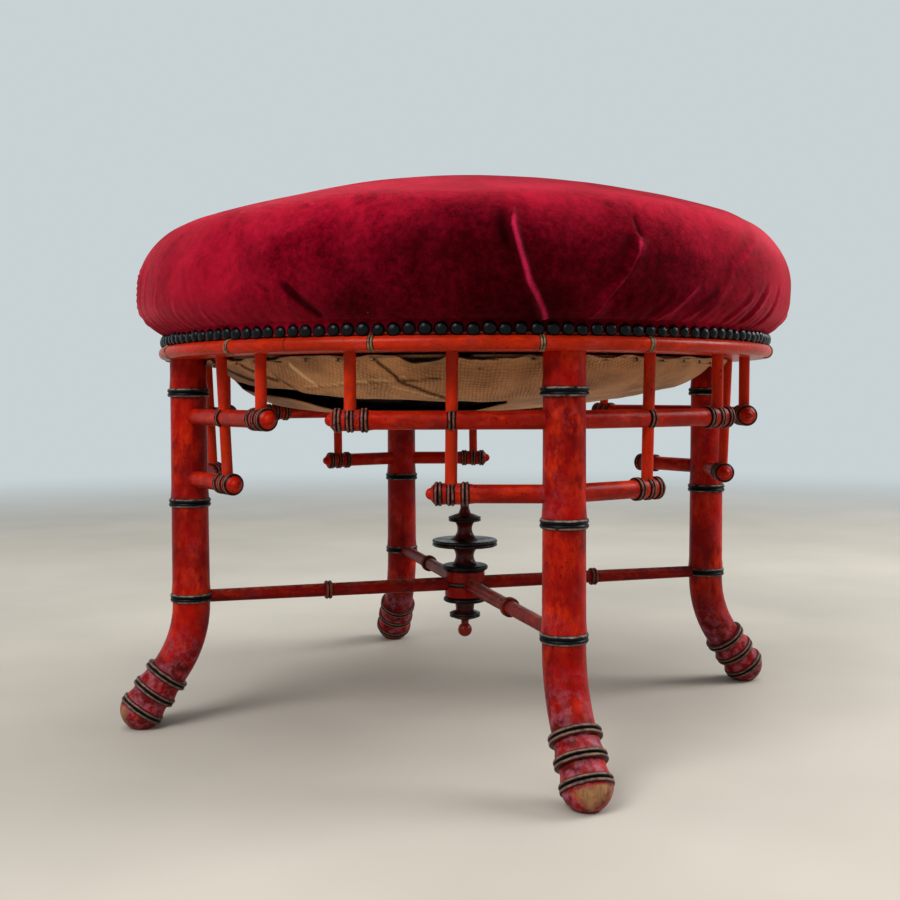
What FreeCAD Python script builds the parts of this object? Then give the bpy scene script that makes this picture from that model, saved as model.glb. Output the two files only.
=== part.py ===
import FreeCAD, Part
import math
import os
import re
import Sketcher

from FreeCAD import Placement, Rotation, Vector

# Round sprung stool in turned faux-bamboo work. Millimetres, +Z up.
# The origin is on the floor under the middle of the seat, and the four legs stand on -Y, +X, +Y and -X.

doc = FreeCAD.newDocument("round_stool")
sheet = doc.addObject("Spreadsheet::Sheet", "sizes")

driving_sizes = {
    # Seat rail, in four curved segments
    "rail_underside_height": 318.7,
    "rail_top_radius": 268.0,
    "rail_width": 46.0,
    "moulding_overhang": 6.5,
    "moulding_height": 10.6,
    "nail_margin_below": 0.5,
    "nail_margin_above": 0.2,
    "rail_dowel_diameter": 8.0,
    "rail_dowel_length": 30.0,
    "rail_dowel_edge": 12.0,
    "rail_dowel_height": 9.5,
    # Legs; a drop is measured down from the rail's underside
    "leg_gap_to_webbing": 1.5,
    "leg_low_diameter": 32.2,
    "leg_taper": 1.2,
    "leg_tenon_diameter": 20.0,
    "leg_tenon_length": 13.0,
    "leg_bend_radius": 99.0,
    "leg_splay_angle": 36.5,
    "leg_node_stand": 1.8,
    "leg_node_flare": 0.7,
    "leg_flare_length": 9.0,
    "leg_bead_height": 3.6,
    "leg_bead_stand": 0.9,
    "top_node_drop": 28.7,
    "middle_node_drop": 123.7,
    "foot_neck_swell": 1.2,
    "foot_neck_length": 4.0,
    "foot_flare": 1.4,
    "toe_swell": 5.4,
    "toe_worn_depth": 2.4,
    "foot_first_collar": 4.5,
    "foot_collar_pitch": 17.4,
    "foot_collar_stand": 3.7,
    "foot_bead_stand": 1.3,
    # Arms; a collar is measured back from the arm's tip
    "upper_arm_drop": 49.2,
    "upper_arm_tip_gap": 48.0,
    "upper_arm_lean": 17.0,
    "lower_arm_drop": 102.7,
    "lower_arm_length": 100.5,
    "lower_arm_lean": 18.5,
    "arm_diameter": 13.8,
    "arm_mortise_end": 5.0,
    "arm_flare": 0.6,
    "arm_flare_length": 4.0,
    "arm_knob_diameter": 15.6,
    "arm_collar_diameter": 18.0,
    "arm_bead_height": 2.6,
    "arm_bead_stand": 0.95,
    "arm_first_collar": 29.0,
    "arm_spindle_collar": 18.6,
    "arm_end_collar": 9.4,
    "arm_cheek_diameter": 10.6,
    "arm_cheek_length": 4.4,
    "arm_tip_diameter": 8.8,
    "arm_nose_length": 3.9,
    # Spindles
    "spindle_diameter": 9.0,
    "spindle_seat_above_arm_axis": 1.0,
    "spindle_depth_in_rail": 10.0,
    # Stretchers
    "stretcher_height": 112.0,
    "stretcher_leg_diameter": 11.0,
    "stretcher_hub_diameter": 12.6,
    "stretcher_node_diameter": 16.6,
    "stretcher_node_radius": 129.0,
    "stretcher_bead_height": 3.2,
    "stretcher_bead_stand": 1.3,
    "stretcher_depth_in_leg": 10.0,
    "stretcher_depth_in_hub": 8.0,
    # Hub
    "hub_diameter": 37.0,
    "hub_below_stretcher": 17.0,
    "hub_above_stretcher": 17.4,
    "hub_lower_collar_height": 4.2,
    "hub_lower_collar_stand": 1.5,
    "hub_upper_collar_height": 4.8,
    "hub_upper_collar_stand": 3.1,
    "hub_groove_width": 3.0,
    "hub_groove_depth": 1.0,
    # Finial, from the hub up
    "finial_pin_diameter": 10.0,
    "finial_pin_length": 14.0,
    "finial_neck_foot_diameter": 26.0,
    "finial_neck_diameter": 16.8,
    "finial_neck_head_diameter": 35.0,
    "finial_neck_hollow": 9.6,
    "finial_neck_length": 17.6,
    "finial_disk_diameter": 60.7,
    "finial_disk_thickness": 6.0,
    "finial_disk_groove": 1.6,
    "finial_waist_foot_diameter": 29.0,
    "finial_waist_diameter": 14.0,
    "finial_waist_head_diameter": 20.0,
    "finial_waist_hollow": 9.9,
    "finial_waist_length": 17.0,
    "finial_small_disk_diameter": 30.4,
    "finial_small_disk_thickness": 4.4,
    "finial_throat_length": 8.1,
    "finial_throat_diameter": 8.0,
    "finial_ball_gap": 2.5,
    "finial_ball_diameter": 13.0,
    # Drop, from the hub down
    "drop_neck_diameter": 16.5,
    "drop_neck_length": 10.4,
    "drop_disk_diameter": 28.8,
    "drop_disk_thickness": 4.2,
    "drop_cone_height": 3.5,
    "drop_throat_length": 6.0,
    "drop_throat_diameter": 7.0,
    "drop_ball_diameter": 13.0,
    # Upholstery; a rise is measured up from the rail's top
    "cushion_overhang": 22.0,
    "cushion_widest_rise": 36.5,
    "cushion_crown_rise": 127.5,
    "cushion_shoulder_radius": 50.0,
    "skirt_above_moulding": 1.1,
    "velvet_thickness": 2.0,
    "calico_thickness": 0.8,
    "spring_hessian_thickness": 1.2,
    "spring_hessian_edge": 13.0,
    "spring_dome_lap": 2.0,
    "spring_dome_rise": 62.0,
    "hammock_side_width": 40.0,
    "hammock_side_drop": 21.0,
    "hammock_middle_drop": 19.0,
    "webbing_lap": 11.0,
    "webbing_width": 50.0,
    "webbing_pitch": 70.0,
    "webbing_thickness": 1.8,
    "base_cloth_thickness": 1.5,
    "spring_circle_radius": 105.0,
    "spring_end_radius": 36.0,
    "spring_waist_radius": 26.0,
    "spring_wire_diameter": 3.6,
    # Fasteners
    "nail_head_diameter": 10.0,
    "nail_head_height": 3.4,
    "nail_shank_diameter": 1.7,
    "nail_shank_length": 12.0,
    "tack_edge": 5.5,
    "tack_head_diameter": 7.0,
    "tack_head_height": 0.9,
    "tack_shank_diameter": 1.6,
    "tack_shank_length": 14.0,
    # Clearances and cuts
    "socket_clearance": 0.1,
    "cloth_clearance": 0.2,
    "overrun": 5.0,
}

counts = {
    "springs_on_the_circle": 6,
    "turns_of_each_spring": 5,
    "webbing_straps_each_way": 4,
    "nails_on_each_rail": 38,
    "tacks_on_each_rail": 12,
}

# Sizes that follow from the driving ones. A formula in the sheet works in degrees.
worked_out_sizes = {
    # Rail
    "rail_thickness": "=moulding_height + nail_margin_below + nail_head_diameter + nail_margin_above",
    "rail_top_height": "=rail_underside_height + rail_thickness",
    "rail_inner_radius": "=rail_top_radius - rail_width",
    "moulding_radius": "=rail_top_radius + moulding_overhang",
    "rail_dowel_inner_radius": "=rail_inner_radius + rail_dowel_edge",
    "rail_dowel_outer_radius": "=rail_top_radius - rail_dowel_edge",
    "nail_height": "=rail_underside_height + moulding_height + nail_margin_below"
                   " + nail_head_diameter / 2",
    # Hammock of webbing and base cloth
    "hammock_flange_radius": "=rail_inner_radius + webbing_lap",
    "hammock_shoulder_radius": "=rail_inner_radius - hammock_side_width",
    "hammock_sag": "=hammock_side_drop + hammock_middle_drop",
    "hammock_middle_radius": "=(hammock_shoulder_radius * hammock_shoulder_radius"
                             " + hammock_middle_drop * hammock_middle_drop) / (2 * hammock_middle_drop)",
    "hammock_side_radius": "=(hammock_side_width * hammock_side_width"
                           " + hammock_side_drop * hammock_side_drop) / (2"
                           " * (hammock_side_drop * (hammock_middle_radius - hammock_middle_drop)"
                           " - hammock_side_width * hammock_shoulder_radius) / hammock_middle_radius)",
    "hammock_side_centre": "=hammock_shoulder_radius"
                           " - hammock_side_radius * hammock_shoulder_radius / hammock_middle_radius",
    "base_cloth_height": "=rail_underside_height - 2 * webbing_thickness - cloth_clearance",
    "tack_circle_radius": "=rail_inner_radius + tack_edge",
    "tack_head_face": "=base_cloth_height - base_cloth_thickness",
    # Legs
    "leg_top_diameter": "=leg_low_diameter - leg_taper",
    "leg_middle_diameter": "=leg_low_diameter - leg_taper / 2",
    "leg_node_diameter": "=leg_low_diameter + 2 * leg_node_stand",
    "leg_circle_radius": "=hammock_flange_radius + leg_gap_to_webbing + leg_top_diameter / 2",
    "top_node_height": "=rail_underside_height - top_node_drop",
    "middle_node_height": "=rail_underside_height - middle_node_drop",
    "foot_neck_diameter": "=leg_low_diameter + foot_neck_swell",
    "toe_diameter": "=leg_low_diameter + toe_swell",
    "foot_collar_diameter": "=leg_low_diameter + 2 * foot_collar_stand",
    "foot_length": "=foot_first_collar + 2 * foot_collar_pitch",
    "foot_dome_height": "=toe_diameter / 2 - toe_worn_depth",
    "leg_bend_height": "=foot_dome_height + foot_length * cos(leg_splay_angle)"
                       " + leg_bend_radius * sin(leg_splay_angle)",
    "foot_start_radius": "=leg_circle_radius + leg_bend_radius * (1 - cos(leg_splay_angle))",
    "foot_start_height": "=leg_bend_height - leg_bend_radius * sin(leg_splay_angle)",
    # Arms, measured along them from their leg's axis
    "upper_arm_height": "=rail_underside_height - upper_arm_drop",
    "lower_arm_height": "=rail_underside_height - lower_arm_drop",
    "upper_arm_length": "=(leg_circle_radius - upper_arm_tip_gap / sqrt(2))"
                        " / (sin(upper_arm_lean) + cos(upper_arm_lean))",
    "spindle_crossing": "=(lower_arm_length - arm_spindle_collar)"
                        " * cos(lower_arm_lean) / cos(upper_arm_lean)",
    # Hub, finial and drop
    "hub_underside_height": "=stretcher_height - hub_below_stretcher",
    "hub_top_height": "=stretcher_height + hub_above_stretcher",
    "hub_lower_collar_diameter": "=hub_diameter + 2 * hub_lower_collar_stand",
    "hub_upper_collar_diameter": "=hub_diameter + 2 * hub_upper_collar_stand",
    "finial_disk_height": "=hub_top_height + finial_neck_length",
    "finial_small_disk_height": "=finial_disk_height + finial_disk_thickness + finial_waist_length",
    "finial_throat_height": "=finial_small_disk_height + finial_small_disk_thickness"
                            " + finial_throat_length",
    "finial_ball_height": "=finial_throat_height + finial_ball_gap",
    "drop_disk_height": "=hub_underside_height - drop_neck_length - drop_disk_thickness",
    "drop_bottom_height": "=drop_disk_height - drop_throat_length - drop_ball_diameter",
    # Cushion
    "cushion_radius": "=rail_top_radius + cushion_overhang",
    "cushion_widest_height": "=rail_top_height + cushion_widest_rise",
    "cushion_top_height": "=rail_top_height + cushion_crown_rise",
    "cushion_skirt_height": "=rail_underside_height + moulding_height + skirt_above_moulding",
    "cushion_skirt_radius": "=rail_top_radius + velvet_thickness",
    "cushion_rise": "=cushion_crown_rise - cushion_widest_rise",
    "cushion_crown_radius": "=(cushion_radius * cushion_radius + cushion_rise * cushion_rise"
                            " - 2 * cushion_radius * cushion_shoulder_radius)"
                            " / (2 * (cushion_rise - cushion_shoulder_radius))",
    "cushion_crown_centre": "=cushion_top_height - cushion_crown_radius",
    "cushion_shoulder_centre": "=cushion_radius - cushion_shoulder_radius",
    "cushion_tuck": "=cushion_radius - cushion_skirt_radius",
    "cushion_tuck_radius": "=(cushion_tuck * cushion_tuck + cushion_widest_rise * cushion_widest_rise)"
                           " / (2 * cushion_tuck)",
    "cushion_tuck_centre": "=cushion_radius - cushion_tuck_radius",
    "spring_hessian_flange_radius": "=rail_top_radius - spring_hessian_edge",
    "spring_dome_radius": "=rail_inner_radius + spring_dome_lap",
}

entries = {**driving_sizes, **counts, **worked_out_sizes}
for row, (alias, value) in enumerate(entries.items(), start=1):
    sheet.set(f"A{row}", alias.replace("_", " "))
    sheet.set(f"B{row}", str(value))
    sheet.setAlias(f"B{row}", alias)
doc.recompute()

legs = {"front": -90, "right": 0, "back": 90, "left": 180}
leg_order = list(legs)
up = Vector(0, 0, 1)
finished = []


def size(alias):
    """The value of one cell of the sheet."""
    return float(sheet.get(alias))


def formula(text):
    """An expression on the sheet's cells, written with their bare names."""
    return re.sub(r"[a-z_]+", lambda m: "sizes." + m[0] if m[0] in entries else m[0], text)


def worth(text):
    """What such an expression comes to."""
    return float(sheet.evalExpression(formula(text)))


def bound(kind, label, place=None, **formulas):
    """A document object of one kind, with its sizes bound to the sheet."""
    thing = doc.addObject(kind, label)
    for name, text in formulas.items():
        thing.setExpression(name, formula(text))
    if place is not None:
        thing.Placement = place
    return thing


def along(point, direction):
    """The placement that lays a piece's own Z along a direction, from a point."""
    return Placement(point, Rotation(up, direction))


def turned_to(leg):
    """The turn about the stool's axis that takes the right leg's place to that of a leg."""
    return Placement(Vector(), Rotation(up, legs[leg]))


def keep(thing, label):
    """Marks an object as a finished piece with the label that names it."""
    thing.Label = label
    finished.append(thing)
    return thing


def hang_point(sketch, edge, end, x_text, y_text):
    """Ties a point of the sketch to its two distances from the sketch's origin."""
    for axis, kind, text in ((-2, "DistanceX", x_text), (-1, "DistanceY", y_text)):
        if text is None:
            continue
        if abs(worth(text)) < 1e-9:
            sketch.addConstraint(Sketcher.Constraint("PointOnObject", edge, end, axis))
        else:
            number = sketch.addConstraint(
                Sketcher.Constraint(kind, -1, 1, edge, end, worth(text)))
            sketch.setExpression(f"Constraints[{number}]", formula(text))


def arc_through(start, finish, centre_x, centre_y, hollow=False):
    """The arc on a chord, with one coordinate of its centre given.

    It bulges to the right of the chord, or to the left where it is hollow.
    """
    chord = finish - start
    left = Vector(-chord.y, chord.x, 0).normalize()
    middle = (start + finish) / 2
    if centre_x is not None:
        centre = middle + left * ((centre_x - middle.x) / left.x)
    else:
        centre = middle + left * ((centre_y - middle.y) / left.y)
    radius = (start - centre).Length
    if hollow:
        return Part.Arc(finish, centre + left * radius, start)
    return Part.Arc(start, centre - left * radius, finish)


def outline(body, points):
    """A closed sketch on the body's XZ plane, from points given as texts (x, y).

    A third text makes the edge to the next point an arc: "x" or "y" says which coordinate of
    its centre the fourth text gives, and a fifth text, "hollow", makes it a hollow one.
    """
    plane = next(f for f in body.Origin.OriginFeatures if f.Role == "XZ_Plane")
    sketch = body.newObject("Sketcher::SketchObject", body.Name + "_outline")
    sketch.AttachmentSupport = (plane, [""])
    sketch.MapMode = "FlatFace"
    corners = [Vector(worth(p[0]), worth(p[1]), 0) for p in points]
    ends = []
    for i, point in enumerate(points):
        start, finish = corners[i], corners[(i + 1) % len(points)]
        if len(point) == 2:
            edge = sketch.addGeometry(Part.LineSegment(start, finish))
            ends.append((edge, 1, 2))
            continue
        given = worth(point[3])
        arc = arc_through(start, finish, given if point[2] == "x" else None,
                          given if point[2] == "y" else None, len(point) == 5)
        edge = sketch.addGeometry(arc)
        forward = (sketch.Geometry[edge].StartPoint - start).Length < \
            (sketch.Geometry[edge].StartPoint - finish).Length
        ends.append((edge, 1, 2) if forward else (edge, 2, 1))
        if point[2] == "x":
            hang_point(sketch, edge, 3, point[3], None)
        else:
            hang_point(sketch, edge, 3, None, point[3])
    for i, point in enumerate(points):
        edge, first, last = ends[i]
        following, next_first, _ = ends[(i + 1) % len(points)]
        sketch.addConstraint(Sketcher.Constraint("Coincident", edge, last, following, next_first))
        hang_point(sketch, edge, first, point[0], point[1])
    return sketch


def turned(name, points, angle=360):
    """A body turned about its own Z: x in the outline is the radius and y the height."""
    body = doc.addObject("PartDesign::Body", name)
    sketch = outline(body, points)
    turning = body.newObject("PartDesign::Revolution", name + "_turning")
    turning.Profile = (sketch, [""])
    turning.ReferenceAxis = (sketch, ["V_Axis"])
    turning.Midplane = True
    turning.Angle = angle
    sketch.Visibility = False
    return body


def beads(centre, height, inner, outer, stand, inner_after=None):
    """The outline points of a pair of shallow beads on a turned piece, in the order of its height."""
    waist = f"({outer}) / 2 - {stand}"
    bead_centre = (f"({outer}) / 2 - (pow({stand}; 2) + pow({height} / 2; 2)) / (2 * {stand})")
    bottom, top = f"({centre}) - {height}", f"({centre}) + {height}"
    return [
        (f"({inner}) / 2", bottom),
        (waist, bottom, "x", bead_centre),
        (waist, centre, "x", bead_centre),
        (waist, top),
        (f"({inner_after or inner}) / 2", top),
    ]


def fused(name, parts):
    """Several objects of the document joined into one solid."""
    joint = doc.addObject("Part::MultiFuse", name)
    joint.Shapes = parts
    return joint


def cut(name, base, tools):
    """A base with one or more tools taken from it."""
    tool = tools[0]
    if len(tools) > 1:
        tool = doc.addObject("Part::Compound", name + "_tools")
        tool.Links = tools
    result = doc.addObject("Part::Cut", name)
    result.Base = base
    result.Tool = tool
    return result


def drill(name, point, direction, diameter, depth):
    """A drill of a bound diameter and depth, for a socket."""
    return bound("Part::Cylinder", name, along(point, direction),
                 Radius=f"({diameter}) / 2 + socket_clearance", Height=depth)


# Places in the frame of the right leg: X runs outwards and Y round the seat.

def arm_direction(level, side):
    """The way an arm runs from its leg's axis."""
    lean = math.radians(size(level + "_arm_lean"))
    return Vector(-math.sin(lean), side * math.cos(lean), 0)


def arm_point(level, side, distance):
    """The point of an arm's axis at a distance from its leg's axis."""
    start = Vector(size("leg_circle_radius"), 0, size(level + "_arm_height"))
    return start + arm_direction(level, side) * distance


def inner_spindle_line(side):
    """The foot of an inner spindle's axis on the lower arm, and its direction up."""
    low = arm_point("lower", side, size("lower_arm_length") - size("arm_spindle_collar"))
    high = arm_point("upper", side, size("spindle_crossing"))
    return low, (high - low).normalize()


def outer_spindle_foot(side):
    """The point of the upper arm's axis that an outer spindle stands over."""
    return arm_point("upper", side, size("upper_arm_length") - size("arm_spindle_collar"))


def spindle_top(low, direction):
    """Where a spindle ends, in its socket in the rail."""
    rise = size("rail_underside_height") + size("spindle_depth_in_rail") - low.z
    return low + direction * (rise / direction.z)


sides = {1: "next", -1: "previous"}


def neighbour(leg, side):
    """The name of the leg that lies on one side of a leg."""
    return leg_order[(leg_order.index(leg) + side) % len(leg_order)]


# Legs

def node_points(centre, below, above):
    """A node of the shaft: a pair of beads, and over it a flare that dies out into the leg."""
    flared = f"{above} + 2 * leg_node_flare"
    return [
        *beads(centre, "leg_bead_height", below, "leg_node_diameter", "leg_bead_stand", flared),
        (f"({above}) / 2", f"{centre} + leg_bead_height + leg_flare_length"),
    ]


def shaft_points():
    """The upright part of a leg, from the bend to the top of its tenon."""
    return [
        ("0", "leg_bend_height"),
        ("leg_low_diameter / 2", "leg_bend_height"),
        *node_points("stretcher_height", "leg_low_diameter", "leg_low_diameter"),
        *node_points("middle_node_height", "leg_middle_diameter", "leg_middle_diameter"),
        *node_points("top_node_height", "leg_top_diameter", "leg_top_diameter"),
        ("leg_top_diameter / 2", "rail_underside_height"),
        ("leg_tenon_diameter / 2", "rail_underside_height"),
        ("leg_tenon_diameter / 2", "rail_underside_height + leg_tenon_length"),
        ("0", "rail_underside_height + leg_tenon_length"),
    ]


def foot_points():
    """The foot, from the bend to its round toe: three collars, with a flare down to each lower one."""
    points = [("0", "0"), ("leg_low_diameter / 2", "0")]
    flared = "foot_neck_diameter + 2 * foot_flare"
    toe = "2 * sqrt(pow(toe_diameter / 2; 2) - pow(leg_bead_height; 2))"
    widths = (("leg_low_diameter", "foot_neck_diameter"), (flared, "foot_neck_diameter"),
              (flared, toe))
    for number, (before, after) in enumerate(widths):
        centre = f"foot_first_collar + {number} * foot_collar_pitch"
        points += beads(centre, "leg_bead_height", before, "foot_collar_diameter",
                        "foot_bead_stand", after)
        if after != toe:
            points.append(("foot_neck_diameter / 2",
                           f"{centre} + leg_bead_height + foot_neck_length"))
    points[-1] = (*points[-1], "x", "0")
    return [*points, ("0", "foot_length + toe_diameter / 2")]


def make_leg(leg):
    """A turned leg with its tenon, nodes, bend, collared foot and mortises."""
    axis = size("leg_circle_radius")
    splay = math.radians(size("leg_splay_angle"))
    down_foot = Vector(math.sin(splay), 0, -math.cos(splay))
    foot_start = Vector(size("foot_start_radius"), 0, size("foot_start_height"))
    name = leg + "_leg"
    shaft = turned(name + "_shaft", shaft_points())
    shaft.Placement = Placement(Vector(axis, 0, 0), Rotation())
    bend = bound("Part::Torus", name + "_bend",
                 Placement(Vector(axis + size("leg_bend_radius"), 0, size("leg_bend_height")),
                           Rotation(Vector(-1, 0, 0), Vector(0, 0, -1), Vector(0, -1, 0), "XYZ")),
                 Radius1="leg_bend_radius", Radius2="leg_low_diameter / 2", Angle3="leg_splay_angle")
    foot = turned(name + "_foot", foot_points())
    foot.Placement = along(foot_start, down_foot)
    tools = []
    for side in sides:
        for level in ("upper", "lower"):
            start = arm_point(level, side, size("arm_mortise_end") - size("socket_clearance"))
            tools.append(drill(f"{name}_{level}_mortise_{sides[side]}", start,
                               arm_direction(level, side), "arm_diameter", "leg_low_diameter"))
    socket_end = axis - size("leg_low_diameter") / 2 + size("stretcher_depth_in_leg")
    tools.append(drill(name + "_stretcher_mortise",
                       Vector(socket_end + size("socket_clearance"), 0, size("stretcher_height")),
                       Vector(-1, 0, 0), "stretcher_leg_diameter", "leg_low_diameter"))
    floor_corner = Vector(size("foot_start_radius"), -size("toe_diameter"), -size("toe_diameter"))
    tools.append(bound("Part::Box", name + "_floor", Placement(floor_corner, Rotation()),
                       Length="2 * foot_length", Width="2 * toe_diameter", Height="toe_diameter"))
    piece = cut(name, fused(name + "_blank", [shaft, bend, foot]), tools)
    piece.Placement = turned_to(leg)
    return keep(piece, name)


# Arms

def arm_points(level):
    """The outline of an arm, measured along it from the leg's axis."""
    length = level + "_arm_length"
    points = [("0", "arm_mortise_end"), ("arm_diameter / 2", "arm_mortise_end")]
    if level == "upper":
        points += beads("spindle_crossing", "arm_bead_height", "arm_diameter",
                        "arm_collar_diameter - arm_bead_height / 3", "arm_bead_stand")
    first = f"{length} - arm_first_collar"
    points.append(("arm_diameter / 2", f"{first} - arm_bead_height - arm_flare_length"))
    before = "arm_diameter + 2 * arm_flare"
    for collar in ("arm_first_collar", "arm_spindle_collar", "arm_end_collar"):
        points += beads(f"{length} - {collar}", "arm_bead_height", before, "arm_collar_diameter",
                        "arm_bead_stand", "arm_knob_diameter")
        before = "arm_knob_diameter"
    points += [
        ("arm_cheek_diameter / 2", f"{length} - arm_cheek_length"),
        ("arm_tip_diameter / 2", f"{length} - arm_nose_length", "x", "0"),
        ("0", length),
    ]
    return points


def make_arm(leg, level, side):
    """One arm, with a socket for each spindle that meets it."""
    name = f"{leg}_{level}_arm_{neighbour(leg, side)}"
    start = Vector(size("leg_circle_radius"), 0, size(level + "_arm_height"))
    blank = turned(name + "_blank", arm_points(level))
    blank.Placement = along(start, arm_direction(level, side))
    low, direction = inner_spindle_line(side)
    seat = size("spindle_seat_above_arm_axis") - size("socket_clearance")
    if level == "upper":
        back = direction * size("arm_collar_diameter")
        crossing = low + direction * ((start.z - low.z) / direction.z)
        tools = [
            drill(name + "_inner_socket", crossing - back, direction, "spindle_diameter",
                  "2 * arm_collar_diameter"),
            drill(name + "_outer_socket", outer_spindle_foot(side) + up * seat, up,
                  "spindle_diameter", "arm_collar_diameter"),
        ]
    else:
        tools = [drill(name + "_inner_socket", low + direction * seat, direction,
                       "spindle_diameter", "arm_collar_diameter")]
    piece = cut(name, blank, tools)
    piece.Placement = turned_to(leg)
    return keep(piece, name)


# Spindles

def make_spindle(leg, kind, side):
    """A spindle from its seat on an arm up into the rail."""
    if kind == "inner":
        foot, direction = inner_spindle_line(side)
    else:
        foot, direction = outer_spindle_foot(side), up
    seat = foot + direction * size("spindle_seat_above_arm_axis")
    top = spindle_top(foot, direction)
    name = f"{leg}_{kind}_spindle_{neighbour(leg, side)}"
    rod = bound("Part::Cylinder", name, turned_to(leg).multiply(along(seat, direction)),
                Radius="spindle_diameter / 2")
    rod.Height = (top - seat).Length
    return keep(rod, name)


# Stretchers and the turned hub

def make_stretcher(leg):
    """A tapered stretcher with one node, from the hub to a leg."""
    node = "stretcher_node_radius"
    points = [
        ("0", "hub_diameter / 2 - stretcher_depth_in_hub"),
        ("stretcher_hub_diameter / 2", "hub_diameter / 2 - stretcher_depth_in_hub"),
        *beads(node, "stretcher_bead_height", "(stretcher_hub_diameter + stretcher_leg_diameter) / 2",
               "stretcher_node_diameter", "stretcher_bead_stand"),
        ("stretcher_leg_diameter / 2", "leg_circle_radius - leg_low_diameter / 2"),
        ("stretcher_leg_diameter / 2",
         "leg_circle_radius - leg_low_diameter / 2 + stretcher_depth_in_leg"),
        ("0", "leg_circle_radius - leg_low_diameter / 2 + stretcher_depth_in_leg"),
    ]
    piece = turned(leg + "_stretcher", points)
    piece.Placement = turned_to(leg).multiply(
        along(Vector(0, 0, size("stretcher_height")), Vector(1, 0, 0)))
    return keep(piece, leg + "_stretcher")


def make_hub():
    """The barrel that the stretchers and the two pins go into."""
    groove_low = "stretcher_height - hub_groove_width / 2"
    groove_high = "stretcher_height + hub_groove_width / 2"
    points = [
        ("0", "hub_underside_height"),
        ("hub_lower_collar_diameter / 2 - hub_lower_collar_height / 2", "hub_underside_height",
         "x", "hub_lower_collar_diameter / 2 - hub_lower_collar_height / 2"),
        ("hub_lower_collar_diameter / 2 - hub_lower_collar_height / 2",
         "hub_underside_height + hub_lower_collar_height"),
        ("hub_diameter / 2 - hub_groove_depth", "hub_underside_height + hub_lower_collar_height"),
        ("hub_diameter / 2", "hub_underside_height + hub_lower_collar_height + hub_groove_depth"),
        ("hub_diameter / 2", groove_low),
        ("hub_diameter / 2 - hub_groove_depth", groove_low),
        ("hub_diameter / 2 - hub_groove_depth", groove_high),
        ("hub_diameter / 2", groove_high),
        ("hub_diameter / 2", "hub_top_height - hub_upper_collar_height - hub_groove_depth"),
        ("hub_diameter / 2 - hub_groove_depth", "hub_top_height - hub_upper_collar_height"),
        ("hub_upper_collar_diameter / 2 - hub_upper_collar_height / 2",
         "hub_top_height - hub_upper_collar_height",
         "x", "hub_upper_collar_diameter / 2 - hub_upper_collar_height / 2"),
        ("hub_upper_collar_diameter / 2 - hub_upper_collar_height / 2", "hub_top_height"),
        ("0", "hub_top_height"),
    ]
    blank = turned("hub_barrel_blank", points)
    top = Vector(0, 0, size("hub_top_height"))
    bottom = Vector(0, 0, size("hub_underside_height"))
    deep = "finial_pin_length + socket_clearance"
    tools = [
        drill("hub_top_socket", top, Vector(0, 0, -1), "finial_pin_diameter", deep),
        drill("hub_bottom_socket", bottom, up, "finial_pin_diameter", deep),
    ]
    reach = size("hub_diameter") / 2 - size("stretcher_depth_in_hub") - size("socket_clearance")
    for leg in legs:
        outwards = turned_to(leg).Rotation.multVec(Vector(1, 0, 0))
        tools.append(drill(f"hub_{leg}_socket", outwards * reach + up * size("stretcher_height"),
                           outwards, "stretcher_hub_diameter", "hub_diameter"))
    return keep(cut("hub_barrel", blank, tools), "hub_barrel")


def make_top_finial():
    """Two stacked disks and a ball on a pin, above the hub."""
    rim = "finial_disk_diameter / 2"
    disk_top = "finial_disk_height + finial_disk_thickness"
    small_top = "finial_small_disk_height + finial_small_disk_thickness"
    middle = "finial_disk_height + finial_disk_thickness / 2"
    points = [
        ("0", "hub_top_height - finial_pin_length"),
        ("finial_pin_diameter / 2", "hub_top_height - finial_pin_length"),
        ("finial_pin_diameter / 2", "hub_top_height"),
        ("finial_neck_foot_diameter / 2", "hub_top_height",
         "x", "finial_neck_diameter / 2 + finial_neck_hollow", "hollow"),
        ("finial_neck_head_diameter / 2", "finial_disk_height"),
        (rim + " - finial_disk_thickness / 4", "finial_disk_height",
         "x", rim + " - finial_disk_thickness / 4"),
        (rim + " - finial_disk_thickness / 4", middle, "x", rim + " - finial_disk_thickness / 4"),
        (rim + " - finial_disk_thickness / 4", disk_top),
        ("finial_waist_foot_diameter / 2", disk_top,
         "x", "finial_waist_diameter / 2 + finial_waist_hollow", "hollow"),
        ("finial_waist_head_diameter / 2", "finial_small_disk_height"),
        ("finial_small_disk_diameter / 2 - finial_small_disk_thickness / 4",
         "finial_small_disk_height",
         "x", "finial_small_disk_diameter / 2 - finial_small_disk_thickness / 4"),
        ("finial_small_disk_diameter / 2 - finial_small_disk_thickness / 4",
         "finial_small_disk_height + finial_small_disk_thickness / 2",
         "x", "finial_small_disk_diameter / 2 - finial_small_disk_thickness / 4"),
        ("finial_small_disk_diameter / 2 - finial_small_disk_thickness / 4", small_top),
        ("finial_throat_diameter / 2 + finial_disk_groove", small_top + " + 2 * finial_disk_groove"),
        ("finial_throat_diameter / 2", "finial_throat_height"),
        ("finial_throat_diameter / 2", "finial_ball_height + finial_throat_diameter / 8", "x", "0"),
        ("0", "finial_ball_height + finial_ball_diameter"),
    ]
    return keep(turned("top_finial", points), "top_finial")


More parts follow.
